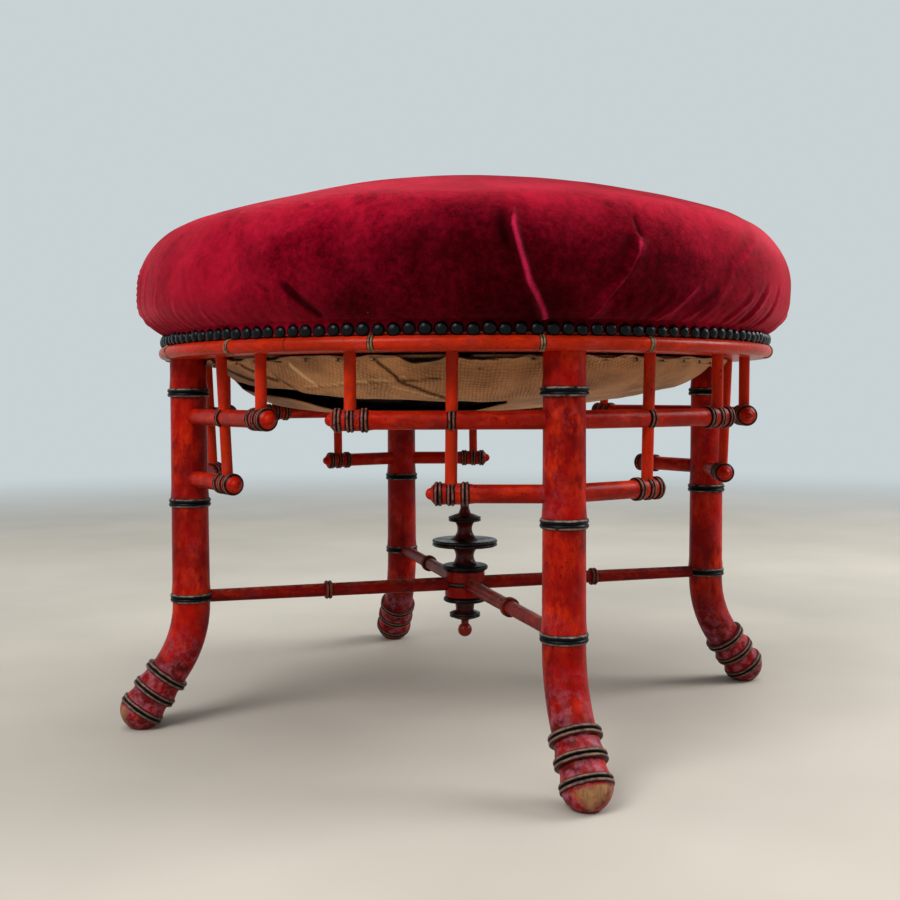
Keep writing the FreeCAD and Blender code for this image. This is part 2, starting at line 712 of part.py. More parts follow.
def make_bottom_drop():
    """A disk and a small ball on a pin, under the hub."""
    disk_rim = "drop_disk_diameter / 2 - drop_disk_thickness / 4"
    throat = "drop_bottom_height + drop_ball_diameter - drop_throat_diameter / 8"
    points = [
        ("0", "drop_bottom_height", "x", "0"),
        ("drop_throat_diameter / 2", throat),
        ("drop_throat_diameter / 2", "drop_disk_height - drop_cone_height"),
        (disk_rim, "drop_disk_height", "x", disk_rim),
        (disk_rim, "drop_disk_height + drop_disk_thickness / 2", "x", disk_rim),
        (disk_rim, "drop_disk_height + drop_disk_thickness"),
        ("drop_neck_diameter / 2", "drop_disk_height + 3 * drop_disk_thickness / 2"),
        ("drop_neck_diameter / 2 + drop_disk_thickness / 4", "hub_underside_height"),
        ("finial_pin_diameter / 2", "hub_underside_height"),
        ("finial_pin_diameter / 2", "hub_underside_height + finial_pin_length"),
        ("0", "hub_underside_height + finial_pin_length"),
    ]
    return keep(turned("bottom_drop", points), "bottom_drop")


# Fasteners, each a row of equal solids in one piece

def spread(pattern, places):
    """Copies of one shape at several places, as a compound."""
    copies = []
    for place in places:
        copy = pattern.copy()
        copy.Placement = place.multiply(pattern.Placement)
        copies.append(copy)
    return Part.makeCompound(copies)


def pin_row(name, pattern, places):
    """A document object that holds a row of copies of a pattern."""
    row_of = doc.addObject("Part::Feature", name)
    row_of.Shape = spread(pattern, places)
    return row_of


def rail_angles(count):
    """Even steps over one rail segment, measured from its middle, in degrees."""
    step = 90 / count
    return [(number + 0.5) * step - 45 for number in range(count)]


def nail_places(angles):
    """Where the decorative nails stand: on the skirt of the cover, pointing outwards."""
    head = size("cushion_skirt_radius") + size("cloth_clearance") / 4
    tip = Vector(head - size("nail_shank_length"), 0, size("nail_height"))
    outwards = along(tip, Vector(1, 0, 0))
    return [Placement(Vector(), Rotation(up, a)).multiply(outwards) for a in angles]


def tack_places(angles):
    """Where the tacks stand: under the rail, with their heads down on the base cloth."""
    tip = Vector(size("tack_circle_radius"), 0,
                 size("tack_head_face") + size("tack_shank_length") - size("cloth_clearance") / 4)
    downwards = along(tip, Vector(0, 0, -1))
    return [Placement(Vector(), Rotation(up, a)).multiply(downwards) for a in angles]


nail_pattern = turned("nail_pattern", [
    ("0", "0"),
    ("nail_shank_diameter / 2", "nail_shank_diameter"),
    ("nail_shank_diameter / 2", "nail_shank_length"),
    ("nail_head_diameter / 2", "nail_shank_length", "x", "0"),
    ("0", "nail_shank_length + nail_head_height"),
])
tack_pattern = turned("tack_pattern", [
    ("0", "0"),
    ("tack_shank_diameter / 2", "tack_shank_diameter"),
    ("tack_shank_diameter / 2", "tack_shank_length"),
    ("tack_head_diameter / 2", "tack_shank_length"),
    ("tack_head_diameter / 2", "tack_shank_length + tack_head_height / 3"),
    ("0", "tack_shank_length + tack_head_height"),
])
doc.recompute()


def hole_shape(diameter, length):
    """A drill shape a little longer than its pin, for many holes at once."""
    radius = size(diameter) / 2 + size("socket_clearance") / 2
    low = Vector(0, 0, -size("overrun") / 10)
    return Part.makeCylinder(radius, size(length) + size("overrun") / 2, low)


nail_angles = rail_angles(int(size("nails_on_each_rail")))
tack_angles = rail_angles(int(size("tacks_on_each_rail")))
all_nail_angles = [legs[leg] + a for leg in legs for a in nail_angles]
all_tack_angles = [legs[leg] + a for leg in legs for a in tack_angles]
nail_hole = hole_shape("nail_shank_diameter", "nail_shank_length")
tack_hole = hole_shape("tack_shank_diameter", "tack_shank_length")

keep(pin_row("decorative_nails", nail_pattern.Shape, nail_places(all_nail_angles)),
     "decorative_nails")
keep(pin_row("base_tacks", tack_pattern.Shape, tack_places(all_tack_angles)), "base_tacks")


# Seat rail

def dowel_place(radius, side):
    """A dowel across one end of the right leg's rail segment, centred on the joint."""
    turn = Placement(Vector(), Rotation(up, 45 * side))
    height = size("rail_underside_height") + size("rail_dowel_height")
    low = Vector(radius, -size("rail_dowel_length") / 2, height)
    return turn.multiply(along(low, Vector(0, 1, 0)))


def make_rail(leg):
    """One quarter of the seat rail, centred on its leg, with every socket that it holds."""
    name = leg + "_rail"
    corner = "moulding_radius - moulding_height / 2"
    shoulder = "rail_underside_height + moulding_height"
    blank = turned(name + "_blank", [
        ("rail_inner_radius", "rail_underside_height"),
        (corner, "rail_underside_height", "x", corner),
        (corner, shoulder),
        ("rail_top_radius", shoulder),
        ("rail_top_radius", "rail_top_height"),
        ("rail_inner_radius", "rail_top_height"),
    ], angle=90)
    underside = size("rail_underside_height")
    tools = [drill(name + "_leg_socket",
                   Vector(size("leg_circle_radius"), 0, underside - size("overrun")), up,
                   "leg_tenon_diameter", "leg_tenon_length + overrun + socket_clearance")]
    for side in sides:
        low, direction = inner_spindle_line(side)
        for kind, foot, way in (("inner", low, direction), ("outer", outer_spindle_foot(side), up)):
            top = spindle_top(foot, way) + way * size("socket_clearance")
            tools.append(drill(f"{name}_{kind}_socket_{sides[side]}", top, way * -1,
                               "spindle_diameter", "2 * spindle_depth_in_rail"))
        for number, radius in enumerate(("rail_dowel_inner_radius", "rail_dowel_outer_radius")):
            hole = bound("Part::Cylinder", f"{name}_dowel_hole_{number}_{sides[side]}",
                         dowel_place(size(radius), side),
                         Radius="rail_dowel_diameter / 2 + socket_clearance",
                         Height="rail_dowel_length")
            tools.append(hole)
    tools.append(pin_row(name + "_nail_holes", nail_hole, nail_places(nail_angles)))
    tools.append(pin_row(name + "_tack_holes", tack_hole, tack_places(tack_angles)))
    piece = cut(name, blank, tools)
    piece.Placement = turned_to(leg)
    return keep(piece, name)


def make_dowels():
    """Two dowels across each of the four joints of the rail."""
    slack = size("socket_clearance")
    pin = Part.makeCylinder(size("rail_dowel_diameter") / 2,
                            size("rail_dowel_length") - 2 * slack, Vector(0, 0, slack))
    places = [turned_to(leg).multiply(dowel_place(size(radius), 1)) for leg in legs
              for radius in ("rail_dowel_inner_radius", "rail_dowel_outer_radius")]
    return keep(pin_row("rail_dowels", pin, places), "rail_dowels")


# Webbing and base cloth, which hang under the springs in one shape

def hanging_sheet(name, top_height, thickness):
    """A full round sheet of the hammock's shape: its underside taken from its upper side."""
    top, under = f"({top_height})", f"({top_height} - {thickness})"

    def bowl(label, edge, flange):
        return turned(label, [
            ("0", f"{edge} - hammock_sag", "x", "0"),
            ("hammock_shoulder_radius", f"{edge} - hammock_side_drop",
             "x", "hammock_side_centre"),
            ("rail_inner_radius", edge),
            (flange, edge),
            (flange, f"{top} + overrun"),
            ("0", f"{top} + overrun"),
        ])

    deep = bowl(name + "_deep_bowl", under, "hammock_flange_radius")
    shallow = bowl(name + "_shallow_bowl", top, "hammock_flange_radius + overrun")
    return cut(name + "_sheet", deep, [shallow])


def hammock_drop(radius):
    """How far the hammock hangs below its rim at a radius."""
    shoulder, middle = size("hammock_shoulder_radius"), size("hammock_middle_radius")
    if radius <= shoulder:
        return size("hammock_sag") - middle + math.sqrt(middle**2 - radius**2)
    side, centre = size("hammock_side_radius"), size("hammock_side_centre")
    start = math.sqrt(side**2 - (shoulder - centre) ** 2)
    return size("hammock_side_drop") - start + math.sqrt(side**2 - (radius - centre) ** 2)


def make_webbing(name, layer, turn):
    """Parallel straps of webbing, cut from one hanging sheet."""
    sheet_top = f"rail_underside_height - {layer} * webbing_thickness"
    whole = hanging_sheet(name, sheet_top, "webbing_thickness")
    count = int(size("webbing_straps_each_way"))
    straps = doc.addObject("Part::Compound", name + "_straps")
    bands = []
    for number in range(count):
        shift = (number - (count - 1) / 2) * size("webbing_pitch")
        corner = Vector(-size("rail_top_radius"), shift - size("webbing_width") / 2, 0)
        band = bound("Part::Box", f"{name}_band_{number}",
                     Placement(Vector(), Rotation(up, turn)).multiply(Placement(corner, Rotation())),
                     Length="2 * rail_top_radius", Width="webbing_width", Height="rail_top_height")
        bands.append(band)
    straps.Links = bands
    common = doc.addObject("Part::MultiCommon", name + "_plain")
    common.Shapes = [whole, straps]
    holes = pin_row(name + "_tack_holes", tack_hole, tack_places(all_tack_angles))
    return keep(cut(name, common, [holes]), name)


def make_base_cloth():
    """The hessian that closes the seat from below."""
    whole = hanging_sheet("base_cloth", "base_cloth_height", "base_cloth_thickness")
    holes = pin_row("base_cloth_tack_holes", tack_hole, tack_places(all_tack_angles))
    return keep(cut("base_cloth", whole, [holes]), "base_cloth")


# Springs

def dome_height(radius):
    """The height of the spring hessian's underside at a radius."""
    rise, width = size("spring_dome_rise"), size("spring_dome_radius")
    ball = (width**2 + rise**2) / (2 * rise)
    return size("rail_top_height") + rise - ball + math.sqrt(ball**2 - radius**2)


def spring_point(centre, share):
    """A point of a spring's wire, as a share of its way up. The wire follows both cloths."""
    turn = 2 * math.pi * size("turns_of_each_spring") * share
    waist, end = size("spring_waist_radius"), size("spring_end_radius")
    radius = waist + (end - waist) * (2 * share - 1) ** 2
    x, y = centre.x + radius * math.cos(turn), centre.y + radius * math.sin(turn)
    seat = size("spring_wire_diameter") / 2 + 2 * size("cloth_clearance")
    reach = math.hypot(x, y)
    low = size("rail_underside_height") - hammock_drop(reach) + seat
    high = dome_height(reach) - seat
    return Vector(x, y, low + (high - low) * share)


def spring_wire(centre):
    """One spring's wire as a path of arcs, two to each quarter turn."""
    steps = 4 * int(size("turns_of_each_spring"))
    small = 0.0001
    edges = []
    points = [spring_point(centre, i / steps) for i in range(steps + 1)]
    ways = [(spring_point(centre, i / steps + small) - spring_point(centre, i / steps - small))
            .normalize() for i in range(steps + 1)]
    for start, finish, way_out, way_in in zip(points, points[1:], ways, ways[1:]):
        chord, total = finish - start, way_out + way_in
        flat = 2 * (1 - way_out.dot(way_in))
        reach = (-chord.dot(total) + math.sqrt(chord.dot(total) ** 2 + flat * chord.dot(chord))) / flat
        first, second = start + way_out * reach, finish - way_in * reach
        join = (first + second) / 2
        for a, corner, b in ((start, first, join), (join, second, finish)):
            weight = (corner - a).normalize().dot((b - a).normalize())
            top = (a + corner * (2 * weight) + b) / (2 * (1 + weight))
            edges.append(Part.Arc(a, top, b).toShape())
    return Part.Wire(edges), ways[0]


def make_spring(centre):
    """One coil spring, as a round wire along its path."""
    path, way = spring_wire(centre)
    start = path.Edges[0].Vertexes[0].Point
    ring = Part.Wire([Part.makeCircle(size("spring_wire_diameter") / 2, start, way)])
    return path.makePipeShell([ring], True, False)


def make_springs():
    """One spring in the middle and a ring of them round it."""
    count = int(size("springs_on_the_circle"))
    centres = [Vector()]
    for number in range(count):
        turn = 2 * math.pi * number / count
        centres.append(Vector(math.cos(turn), math.sin(turn), 0) * size("spring_circle_radius"))
    springs = doc.addObject("Part::Feature", "seat_springs")
    springs.Shape = Part.makeCompound([make_spring(centre) for centre in centres])
    return keep(springs, "seat_springs")


# Spring hessian, stuffing, calico and velvet

def spring_dome(name, lift, reach, base):
    """A solid dome over the springs, lifted by a cloth's thickness."""
    brim = f"rail_top_height + {lift}"
    return turned(name, [
        ("0", base),
        (reach, base),
        (reach, brim),
        ("spring_dome_radius", brim, "x", "0"),
        ("0", f"{brim} + spring_dome_rise"),
    ])


def cushion(name, inset):
    """The cushion's whole shape, drawn in by an inset from the velvet's outer face."""
    share = f"(cushion_crown_radius - ({inset})) / (cushion_crown_radius - cushion_shoulder_radius)"
    shoulder_x = f"cushion_shoulder_centre * {share}"
    shoulder_y = f"cushion_crown_centre + (cushion_widest_height - cushion_crown_centre) * {share}"
    tuck_x = (f"cushion_tuck_centre + sqrt(pow(cushion_tuck_radius - ({inset}); 2)"
              " - pow(cushion_widest_rise; 2))")
    return turned(name, [
        ("0", "rail_top_height"),
        (tuck_x, "rail_top_height", "x", "cushion_tuck_centre"),
        (f"cushion_radius - ({inset})", "cushion_widest_height", "x", "cushion_shoulder_centre"),
        (shoulder_x, shoulder_y, "x", "0"),
        ("0", f"cushion_top_height - ({inset})"),
    ])


def make_spring_hessian():
    """The hessian over the springs, lying on the rail at its edge."""
    outer = spring_dome("spring_hessian_outer", "spring_hessian_thickness",
                        "spring_hessian_flange_radius", "rail_top_height")
    inner = spring_dome("spring_hessian_inner", "0", "spring_dome_radius + overrun",
                        "rail_top_height - overrun")
    return keep(cut("spring_hessian", outer, [inner]), "spring_hessian")


def make_cushion_layers():
    """Stuffing, calico and velvet, each drawn in from the one outside it."""
    calico_inset = "velvet_thickness + cloth_clearance"
    stuffing_inset = "velvet_thickness + calico_thickness + 2 * cloth_clearance"
    under_springs = spring_dome("stuffing_hollow", "spring_hessian_thickness + cloth_clearance",
                                "spring_hessian_flange_radius + cloth_clearance",
                                "rail_top_height - overrun")
    keep(cut("stuffing", cushion("stuffing_blank", stuffing_inset), [under_springs]), "stuffing")
    keep(cut("calico_cover", cushion("calico_outer", calico_inset),
             [cushion("calico_inner", "velvet_thickness + calico_thickness + cloth_clearance")]),
         "calico_cover")
    skirt = bound("Part::Cylinder", "velvet_skirt",
                  along(Vector(0, 0, size("cushion_skirt_height")), up),
                  Radius="cushion_skirt_radius", Height="rail_top_height - cushion_skirt_height")
    rail_room = bound("Part::Cylinder", "velvet_rail_room",
                      along(Vector(0, 0, size("cushion_skirt_height") - size("overrun")), up),
                      Radius="rail_top_radius",
                      Height="rail_top_height - cushion_skirt_height + overrun")
    holes = pin_row("velvet_nail_holes", nail_hole, nail_places(all_nail_angles))
    whole = fused("velvet_blank", [cushion("velvet_outer", "0"), skirt])
    keep(cut("velvet_cover", whole, [cushion("velvet_inner", "velvet_thickness"), rail_room, holes]),
         "velvet_cover")


for leg in legs:
    make_rail(leg)
    make_leg(leg)
    make_stretcher(leg)
    for side in sides:
        for level in ("upper", "lower"):
            make_arm(leg, level, side)
        for kind in ("outer", "inner"):
            make_spindle(leg, kind, side)
make_dowels()
make_hub()
make_top_finial()
make_bottom_drop()
make_webbing("webbing_side_to_side", 0, 0)
make_webbing("webbing_front_to_back", 1, 90)
make_base_cloth()
make_springs()
make_spring_hessian()
make_cushion_layers()
doc.recompute()

for thing in doc.Objects:
    if "Invalid" in thing.State or "Error" in thing.State:
        raise RuntimeError(f"{thing.Name} failed: {thing.State}")
for piece in finished:
    if piece.Shape.isNull() or not piece.Shape.isValid() or piece.Shape.Volume <= 0:
        raise RuntimeError(f"{piece.Label} has no valid shape")

os.makedirs("parts", exist_ok=True)
for piece in finished:
    piece.Shape.exportStep(f"parts/{piece.Label}.step")
    print(f"{piece.Label}: {len(piece.Shape.Solids)} solid(s), {piece.Shape.Volume / 1000:.1f} cm3")
whole = Part.makeCompound([piece.Shape for piece in finished])
print(f"{len(finished)} pieces, box {whole.BoundBox}")
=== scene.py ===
import math
import random
from functools import partial

import bpy
import numpy as np
from mathutils import Euler, Matrix, Vector, noise


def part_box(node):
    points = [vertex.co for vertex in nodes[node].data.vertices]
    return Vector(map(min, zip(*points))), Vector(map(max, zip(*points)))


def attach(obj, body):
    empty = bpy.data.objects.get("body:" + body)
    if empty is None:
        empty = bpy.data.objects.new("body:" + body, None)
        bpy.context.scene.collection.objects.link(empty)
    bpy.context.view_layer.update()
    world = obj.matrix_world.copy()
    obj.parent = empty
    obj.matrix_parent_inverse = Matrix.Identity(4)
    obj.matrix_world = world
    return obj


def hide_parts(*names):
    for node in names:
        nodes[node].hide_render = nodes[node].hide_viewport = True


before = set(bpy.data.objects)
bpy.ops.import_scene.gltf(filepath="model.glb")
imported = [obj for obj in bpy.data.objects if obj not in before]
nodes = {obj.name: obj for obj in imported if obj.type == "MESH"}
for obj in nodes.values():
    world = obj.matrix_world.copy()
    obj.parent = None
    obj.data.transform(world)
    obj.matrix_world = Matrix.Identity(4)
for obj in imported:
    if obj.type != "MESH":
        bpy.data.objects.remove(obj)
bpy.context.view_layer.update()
bpy.ops.object.select_all(action="DESELECT")
print("frame loaded:", len(nodes), "nodes")

mm = 0.001
legTurns = {"front": -90, "right": 0, "back": 90, "left": 180}

velvetLow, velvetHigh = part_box("velvet_cover")
railLow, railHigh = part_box("right_rail")
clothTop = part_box("base_cloth")[1][2]
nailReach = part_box("decorative_nails")[1][0]

bpy.context.scene.view_settings.view_transform = "Standard"


# Colours, nodes and materials

def hexColour(text):
    # sRGB hex to the linear values that the shaders take
    parts = [int(text[i:i + 2], 16) / 255 for i in (1, 3, 5)]
    linear = [c / 12.92 if c <= 0.04045 else ((c + 0.055) / 1.055) ** 2.4 for c in parts]
    return (*linear, 1.0)


# Short names for nodes: type, settings, the inputs that values go to in turn, and the output.
# Any other name is an operation of the Math node.
mixColours = {"data_type": "RGBA"}
nodeKinds = {
    "place": ("TexCoord", {}, (), "Object"),
    "split": ("SeparateXYZ", {}, (0,), None),
    "join": ("CombineXYZ", {}, (0, 1, 2), 0),
    "mapping": ("Mapping", {}, ("Vector",), 0),
    "along": ("VectorMath", {"operation": "DOT_PRODUCT"}, (0, 1), "Value"),
    "length": ("VectorMath", {"operation": "LENGTH"}, (0,), "Value"),
    "bend": ("VectorMath", {"operation": "MULTIPLY_ADD"}, (0, 1, 2), 0),
    "fade": ("MapRange", {"interpolation_type": "SMOOTHSTEP"}, (0, 1, 2, 3, 4), 0),
    "mix": ("Mix", mixColours, (0, 6, 7), 2),
    "tint": ("Mix", {**mixColours, "blend_type": "MULTIPLY"}, (0, 6, 7), 2),
    "ramp": ("ValToRGB", {}, (0,), 0),
    "noise": ("TexNoise", {}, ("Vector", "Scale", "Detail", "Roughness", "Distortion"), 0),
    "colourNoise": ("TexNoise", {}, ("Vector", "Scale"), 1),
    "wavesX": ("TexWave", {"bands_direction": "X"}, ("Vector", "Scale"), 1),
    "wavesY": ("TexWave", {"bands_direction": "Y"}, ("Vector", "Scale"), 1),
    "cells": ("TexVoronoi", {}, ("Vector", "Scale", "Randomness"), "Distance"),
    "foldTone": ("Attribute", {"attribute_name": "foldTone"}, (), "Fac"),
    "creaseTone": ("Attribute", {"attribute_name": "creaseTone"}, (), "Fac"),
    "bump": ("Bump", {}, ("Height", "Strength", "Distance"), 0),
    "surface": ("BsdfPrincipled", {}, (), 0),
    "glow": ("Emission", {}, ("Color", "Strength"), 0),
    "sky": ("Background", {}, ("Color", "Strength"), 0),
    "either": ("MixShader", {}, (0, 1, 2), 0),
    "rays": ("LightPath", {}, (), None),
    "material": ("OutputMaterial", {}, ("Surface",), None),
    "world": ("OutputWorld", {}, ("Surface",), None),
}


def addNode(tree, name, *values, **named):
    # adds a node with its settings and links, and gives its output
    kind, settings, slots, output = nodeKinds.get(
        name, ("Math", {"operation": name}, (0, 1, 2), 0))
    node = tree.nodes.new("ShaderNode" + kind)
    for key, value in settings.items():
        setattr(node, key, value)
    for slot, value in [*zip(slots, values), *named.items()]:
        if isinstance(value, bpy.types.NodeSocket):
            tree.links.new(value, node.inputs[slot])
        else:
            node.inputs[slot].default_value = hexColour(value) if isinstance(value, str) else value
    return node.outputs if output is None else node.outputs[output]


def perMetre(size):
    # texture scale that gives one feature each so many millimetres
    return 1 / (size * mm)


def grain(add, place, size, detail=3, roughness=0.55, low=None, high=None, stretch=None,
          distortion=0):
    # noise with features of so many millimetres; low and high are the two stops of a ramp,
    # each a position with a value or a colour
    if stretch:
        place = add("mapping", place, Scale=stretch)
    out = add("noise", place, perMetre(size), detail, roughness, distortion)
    if low:
        out = add("ramp", out)
        for element, (position, tone) in zip(out.node.color_ramp.elements, (low, high)):
            element.position = position
            element.color = hexColour(tone) if isinstance(tone, str) else (tone,) * 3 + (1,)
    return out


def waver(add, place, depth, *layer):
    # noise either side of nothing, so many millimetres from end to end
    return add("MULTIPLY_ADD", grain(add, place, *layer), depth * mm, -depth / 2 * mm)


def startMaterial(name):
    material = bpy.data.materials.new(name)
    material.use_nodes = True
    material.node_tree.nodes.clear()
    add = partial(addNode, material.node_tree)
    return material, add, add("place")


def closeMaterial(material, add, height, strength, depth, values):
    # height, strength and depth in millimetres of the relief, then the shader's values
    normal = add("bump", height, strength, depth * mm)
    add("material", add("surface", Normal=normal, **values))
    return material


def quarterPlaces(add, place):
    # the stool repeats each quarter turn: how far out, how far to the side, and how high
    x, y, up = add("split", place)
    x, y = add("ABSOLUTE", x), add("ABSOLUTE", y)
    return add("MAXIMUM", x, y), add("MINIMUM", x, y), up


def nearestOf(add, differences):
    # how near the nearest is
    nearest, *others = (add("ABSOLUTE", difference) for difference in differences)
    for distance in others:
        nearest = add("MINIMUM", nearest, distance)
    return nearest


lacquerLook = {
    "deep": "#600102",
    "body": "#a00801",
    "bright": "#c92d05",
    # colour of the painted light on the higher pieces
    "paintedLight": "#d8380c",
    "fleck": "#170203",
    "haze": "#a0596a",
    "edge": "#3d0205",
    "grime": "#4a0609",
    # colour of the painted shade
    "shade": "#1d0103",
    "dust": "#94705c",
    "black": "#07090e",
    "wornPaint": "#4c362e",
    "ior": 1.5,
    "specular": 0.08,
    "lowFrom": (0.1, 0.045),
    "dustFrom": (0.114, 0.1185),
    "hazeDulls": 0.2,
    "dullSpread": 0.24,
    "raggedness": 34.0,
    "bareFade": (2.5, 9.0),
    "crackWaver": 2.0,
    "crack": (0.2, 0.8),
    "pits": -0.8,
}
# Layers of the lacquer: size in mm, detail, roughness, and the two stops of a ramp
lacquerLayers = {
    "broad": (46, 4, 0.55, (0.36, 0.1), (0.62, 1.0)),
    "streaks": (8, 5, 0.65, (0.42, 0.0), (0.66, 1.0)),
    "streakZones": (31, 3, 0.55, (0.4, 0.1), (0.66, 1.0)),
    "scuffs": (5, 5, 0.72, (0.52, 0.0), (0.78, 0.7)),
    "flecks": (2.1, 3, 0.6, (0.6, 0.0), (0.68, 1.0)),
    "fleckZones": (22, 3, 0.55, (0.46, 0.08), (0.62, 1.0)),
    "bloomZones": (26, 3, 0.55, (0.5, 0.0), (0.72, 0.45)),
    "bloom": (4, 5, 0.7, (0.4, 0.0), (0.75, 0.8)),
    "grime": (12, 5, 0.65, (0.36, 0.0), (0.6, 0.95)),
    "lowBloom": (8, 5, 0.65, (0.46, 0.0), (0.68, 0.8)),
    "dust": (5, 5, 0.7, (0.4, 0.0), (0.7, 0.55)),
    "dullness": (8, 4),
    "ragged": (11, 5, 0.65),
    "bareEdge": (5, 5, 0.7, (0.3, 0.55), (0.5, 1.0)),
    "bareWood": (6, 5, 0.65, (0.3, "#785134"), (0.7, "#aa7f56")),
    "crackWaver": (6,),
    "relief": (3.5, 4, 0.6),
    "bandWobble": (9, 4, 0.65),
    "bandTone": (3, 4, 0.6),
}
# Paint of a node, in mm from its middle: where its two crests lie, how wide they are rubbed, how
# far the black reaches, how much of the crests is worn through, and the colours of both
nodePaint = {
    "leg": (2.9, 0.9, 3.9, (0.36, 0.6), "#a58f7e", "#120609"),
    "foot": (2.0, 1.1, 3.7, (0.26, 0.54), "#96735f", "#3f0d0c"),
    "arm": (1.5, 0.95, 3.5, (0.3, 0.55), "#a8604c", "#2a0708"),
    "stretcher": (1.7, 1.6, 3.2, (0.3, 0.52), "#8a3c2e", "#0d0405"),
    "rail": (1.1, 0.8, 2.4, (0.2, 0.45), "#a8834f", "#2c0a08"),
    "collar": (0, 2.0, 2.9, (0.5, 0.75), "#3a2a26", "#0b090c"),
    "groove": (0, 0.9, 2.3, (0.1, 0.3), "#4c3a33", "#0b090c"),
}
bandEdge = {"wobble": 1.5, "soft": 0.35, "worn": (6, 5, 0.68), "stretch": (1, 1, 1.6)}


def nodeBands(add, place, colour, away, kind):
    # black paint with crests rubbed to the wood's brown, at a distance from a node's middle
    crest, width, reach, worn, rubbed, edge = nodePaint[kind]
    away = add("ADD", away, waver(add, place, bandEdge["wobble"], *lacquerLayers["bandWobble"]))
    soft = bandEdge["soft"]
    painted = add("fade", away, (reach - soft) * mm, (reach + soft) * mm, 1.0, 0.0)
    ink = add("mix", add("fade", away, crest * mm, reach * mm), lacquerLook["black"], edge)
    fromCrest = add("ABSOLUTE", add("SUBTRACT", away, crest * mm))
    onCrest = add("fade", fromCrest, width * 0.35 * mm, width * mm, 1.0, 0.0)
    worn = grain(add, place, *bandEdge["worn"], (worn[0], 0.0), (worn[1], 1.0),
                 bandEdge["stretch"])
    tone = add("mix", grain(add, place, *lacquerLayers["bandTone"]),
               lacquerLook["wornPaint"], rubbed)
    bands = add("mix", add("MULTIPLY", onCrest, worn), ink, tone)
    return add("mix", painted, colour, bands)


def bareToe(add, place, out, quarter, foot):
    # the toe is scuffed to the wood where it faces outwards
    ragged = waver(add, place, lacquerLook["raggedness"], *lacquerLayers["ragged"])
    start, outer = foot["offset"] + foot["bareFrom"], foot["bareOut"]
    lowFade, outFade = lacquerLook["bareFade"]
    below = add("fade", add("along", quarter, foot["down"]), start * mm, (start + lowFade) * mm)
    outwards = add("fade", add("ADD", out, ragged), outer * mm, (outer + outFade) * mm)
    bare = add("MULTIPLY", below, outwards)
    return add("MULTIPLY", bare, grain(add, place, *lacquerLayers["bareEdge"]))


def railBands(add, place, colour, up, turns):
    # the nodes of the rail's moulding, by their turn
    x, y, _ = add("split", place)
    turn = add("ARCTAN2", y, x)
    nearest = add("MULTIPLY", railHigh[0], nearestOf(add, [
        add("WRAP", add("SUBTRACT", turn, math.radians(middle)), math.pi, -math.pi)
        for middle in turns]))
    # above the moulding the bands end
    start, end = (railLow[2] + height * mm for height in railNode["bandsEnd"])
    above = add("fade", up, start, end, 0.0, 0.02)
    return nodeBands(add, place, colour, add("ADD", nearest, above), "rail")


def lacquer(name, bands=(), railNodes=(), foot=None, dark=0.0, paintedLight=0.0, shine=0.36,
            dusty=False, brush=(1, 1, 0.5)):
    # Vermilion oil lacquer brushed over turned beech, about 150 years old: satin, with brush
    # streaks, dark pits, orange rubbed places and, near the floor, a lilac bloom. Pieces in the
    # seat's shadow can be given painted shade, pieces higher up painted light.
    # bands: direction out/side/up, start and middles along it in mm, and kind
    look = lacquerLook
    material, add, place = startMaterial(name)
    out, side, up = quarterPlaces(add, place)
    quarter = add("join", out, side, up)

    def layer(key, **more):
        return grain(add, place, *lacquerLayers[key], **more)

    def over(colour, share, tone):
        return add("mix", share, colour, tone)

    colour = over(look["deep"], layer("broad"), look["body"])
    streaks = add("MULTIPLY", layer("streaks", stretch=brush), layer("streakZones"))
    colour = over(colour, streaks, look["bright"])
    colour = over(colour, layer("scuffs", stretch=brush), look["edge"])
    flecks = add("MULTIPLY", layer("flecks"), layer("fleckZones"))
    colour = over(colour, flecks, look["fleck"])
    bloom = add("MULTIPLY", layer("bloomZones"), layer("bloom"))
    if foot:
        low = add("fade", up, *look["lowFrom"])
        colour = over(colour, add("MULTIPLY", low, layer("grime")), look["grime"])
        bloom = add("MAXIMUM", bloom, add("MULTIPLY", low, layer("lowBloom")))
    colour = over(colour, bloom, look["haze"])
    # painted shade for pieces in the seat's shadow
    if dark:
        colour = over(colour, dark, look["shade"])
    if dusty:
        onTop = add("fade", up, *look["dustFrom"])
        colour = over(colour, add("MULTIPLY", onTop, layer("dust")), look["dust"])
    # painted light: a brighter orange laid over the piece, except on its pits
    if paintedLight:
        clear = add("MULTIPLY", add("SUBTRACT", 1.0, flecks), paintedLight)
        colour = over(colour, clear, look["paintedLight"])
    dull = add("MULTIPLY_ADD", layer("dullness"), look["dullSpread"],
               shine - look["dullSpread"] / 2)
    roughness = add("MULTIPLY_ADD", bloom, look["hazeDulls"], dull)
    if foot:
        bare = bareToe(add, place, out, quarter, foot)
        colour = over(colour, bare, layer("bareWood", stretch=(1, 1, 0.35)))
        roughness = add("MULTIPLY_ADD", bare, 0.3, roughness)
    for direction, offset, middles, kind in bands:
        run = add("along", quarter, direction)
        away = nearestOf(add, [add("SUBTRACT", run, (offset + m) * mm) for m in middles])
        colour = nodeBands(add, place, colour, away, kind)
    if railNodes:
        colour = railBands(add, place, colour, up, railNodes)
        # the crack of the joint midway between two legs
        crack = waver(add, place, look["crackWaver"], *lacquerLayers["crackWaver"])
        apart = add("ADD", crack, add("SUBTRACT", out, side))
        start, end = (edge * mm for edge in look["crack"])
        colour = over(colour, add("fade", apart, start, end, 0.7, 0.0), look["fleck"])
    relief = add("MULTIPLY_ADD", flecks, look["pits"], layer("relief"))
    return closeMaterial(material, add, relief, 0.5, 0.3, {
        "Base Color": colour, "Roughness": roughness, "IOR": look["ior"],
        "Specular IOR Level": look["specular"]})


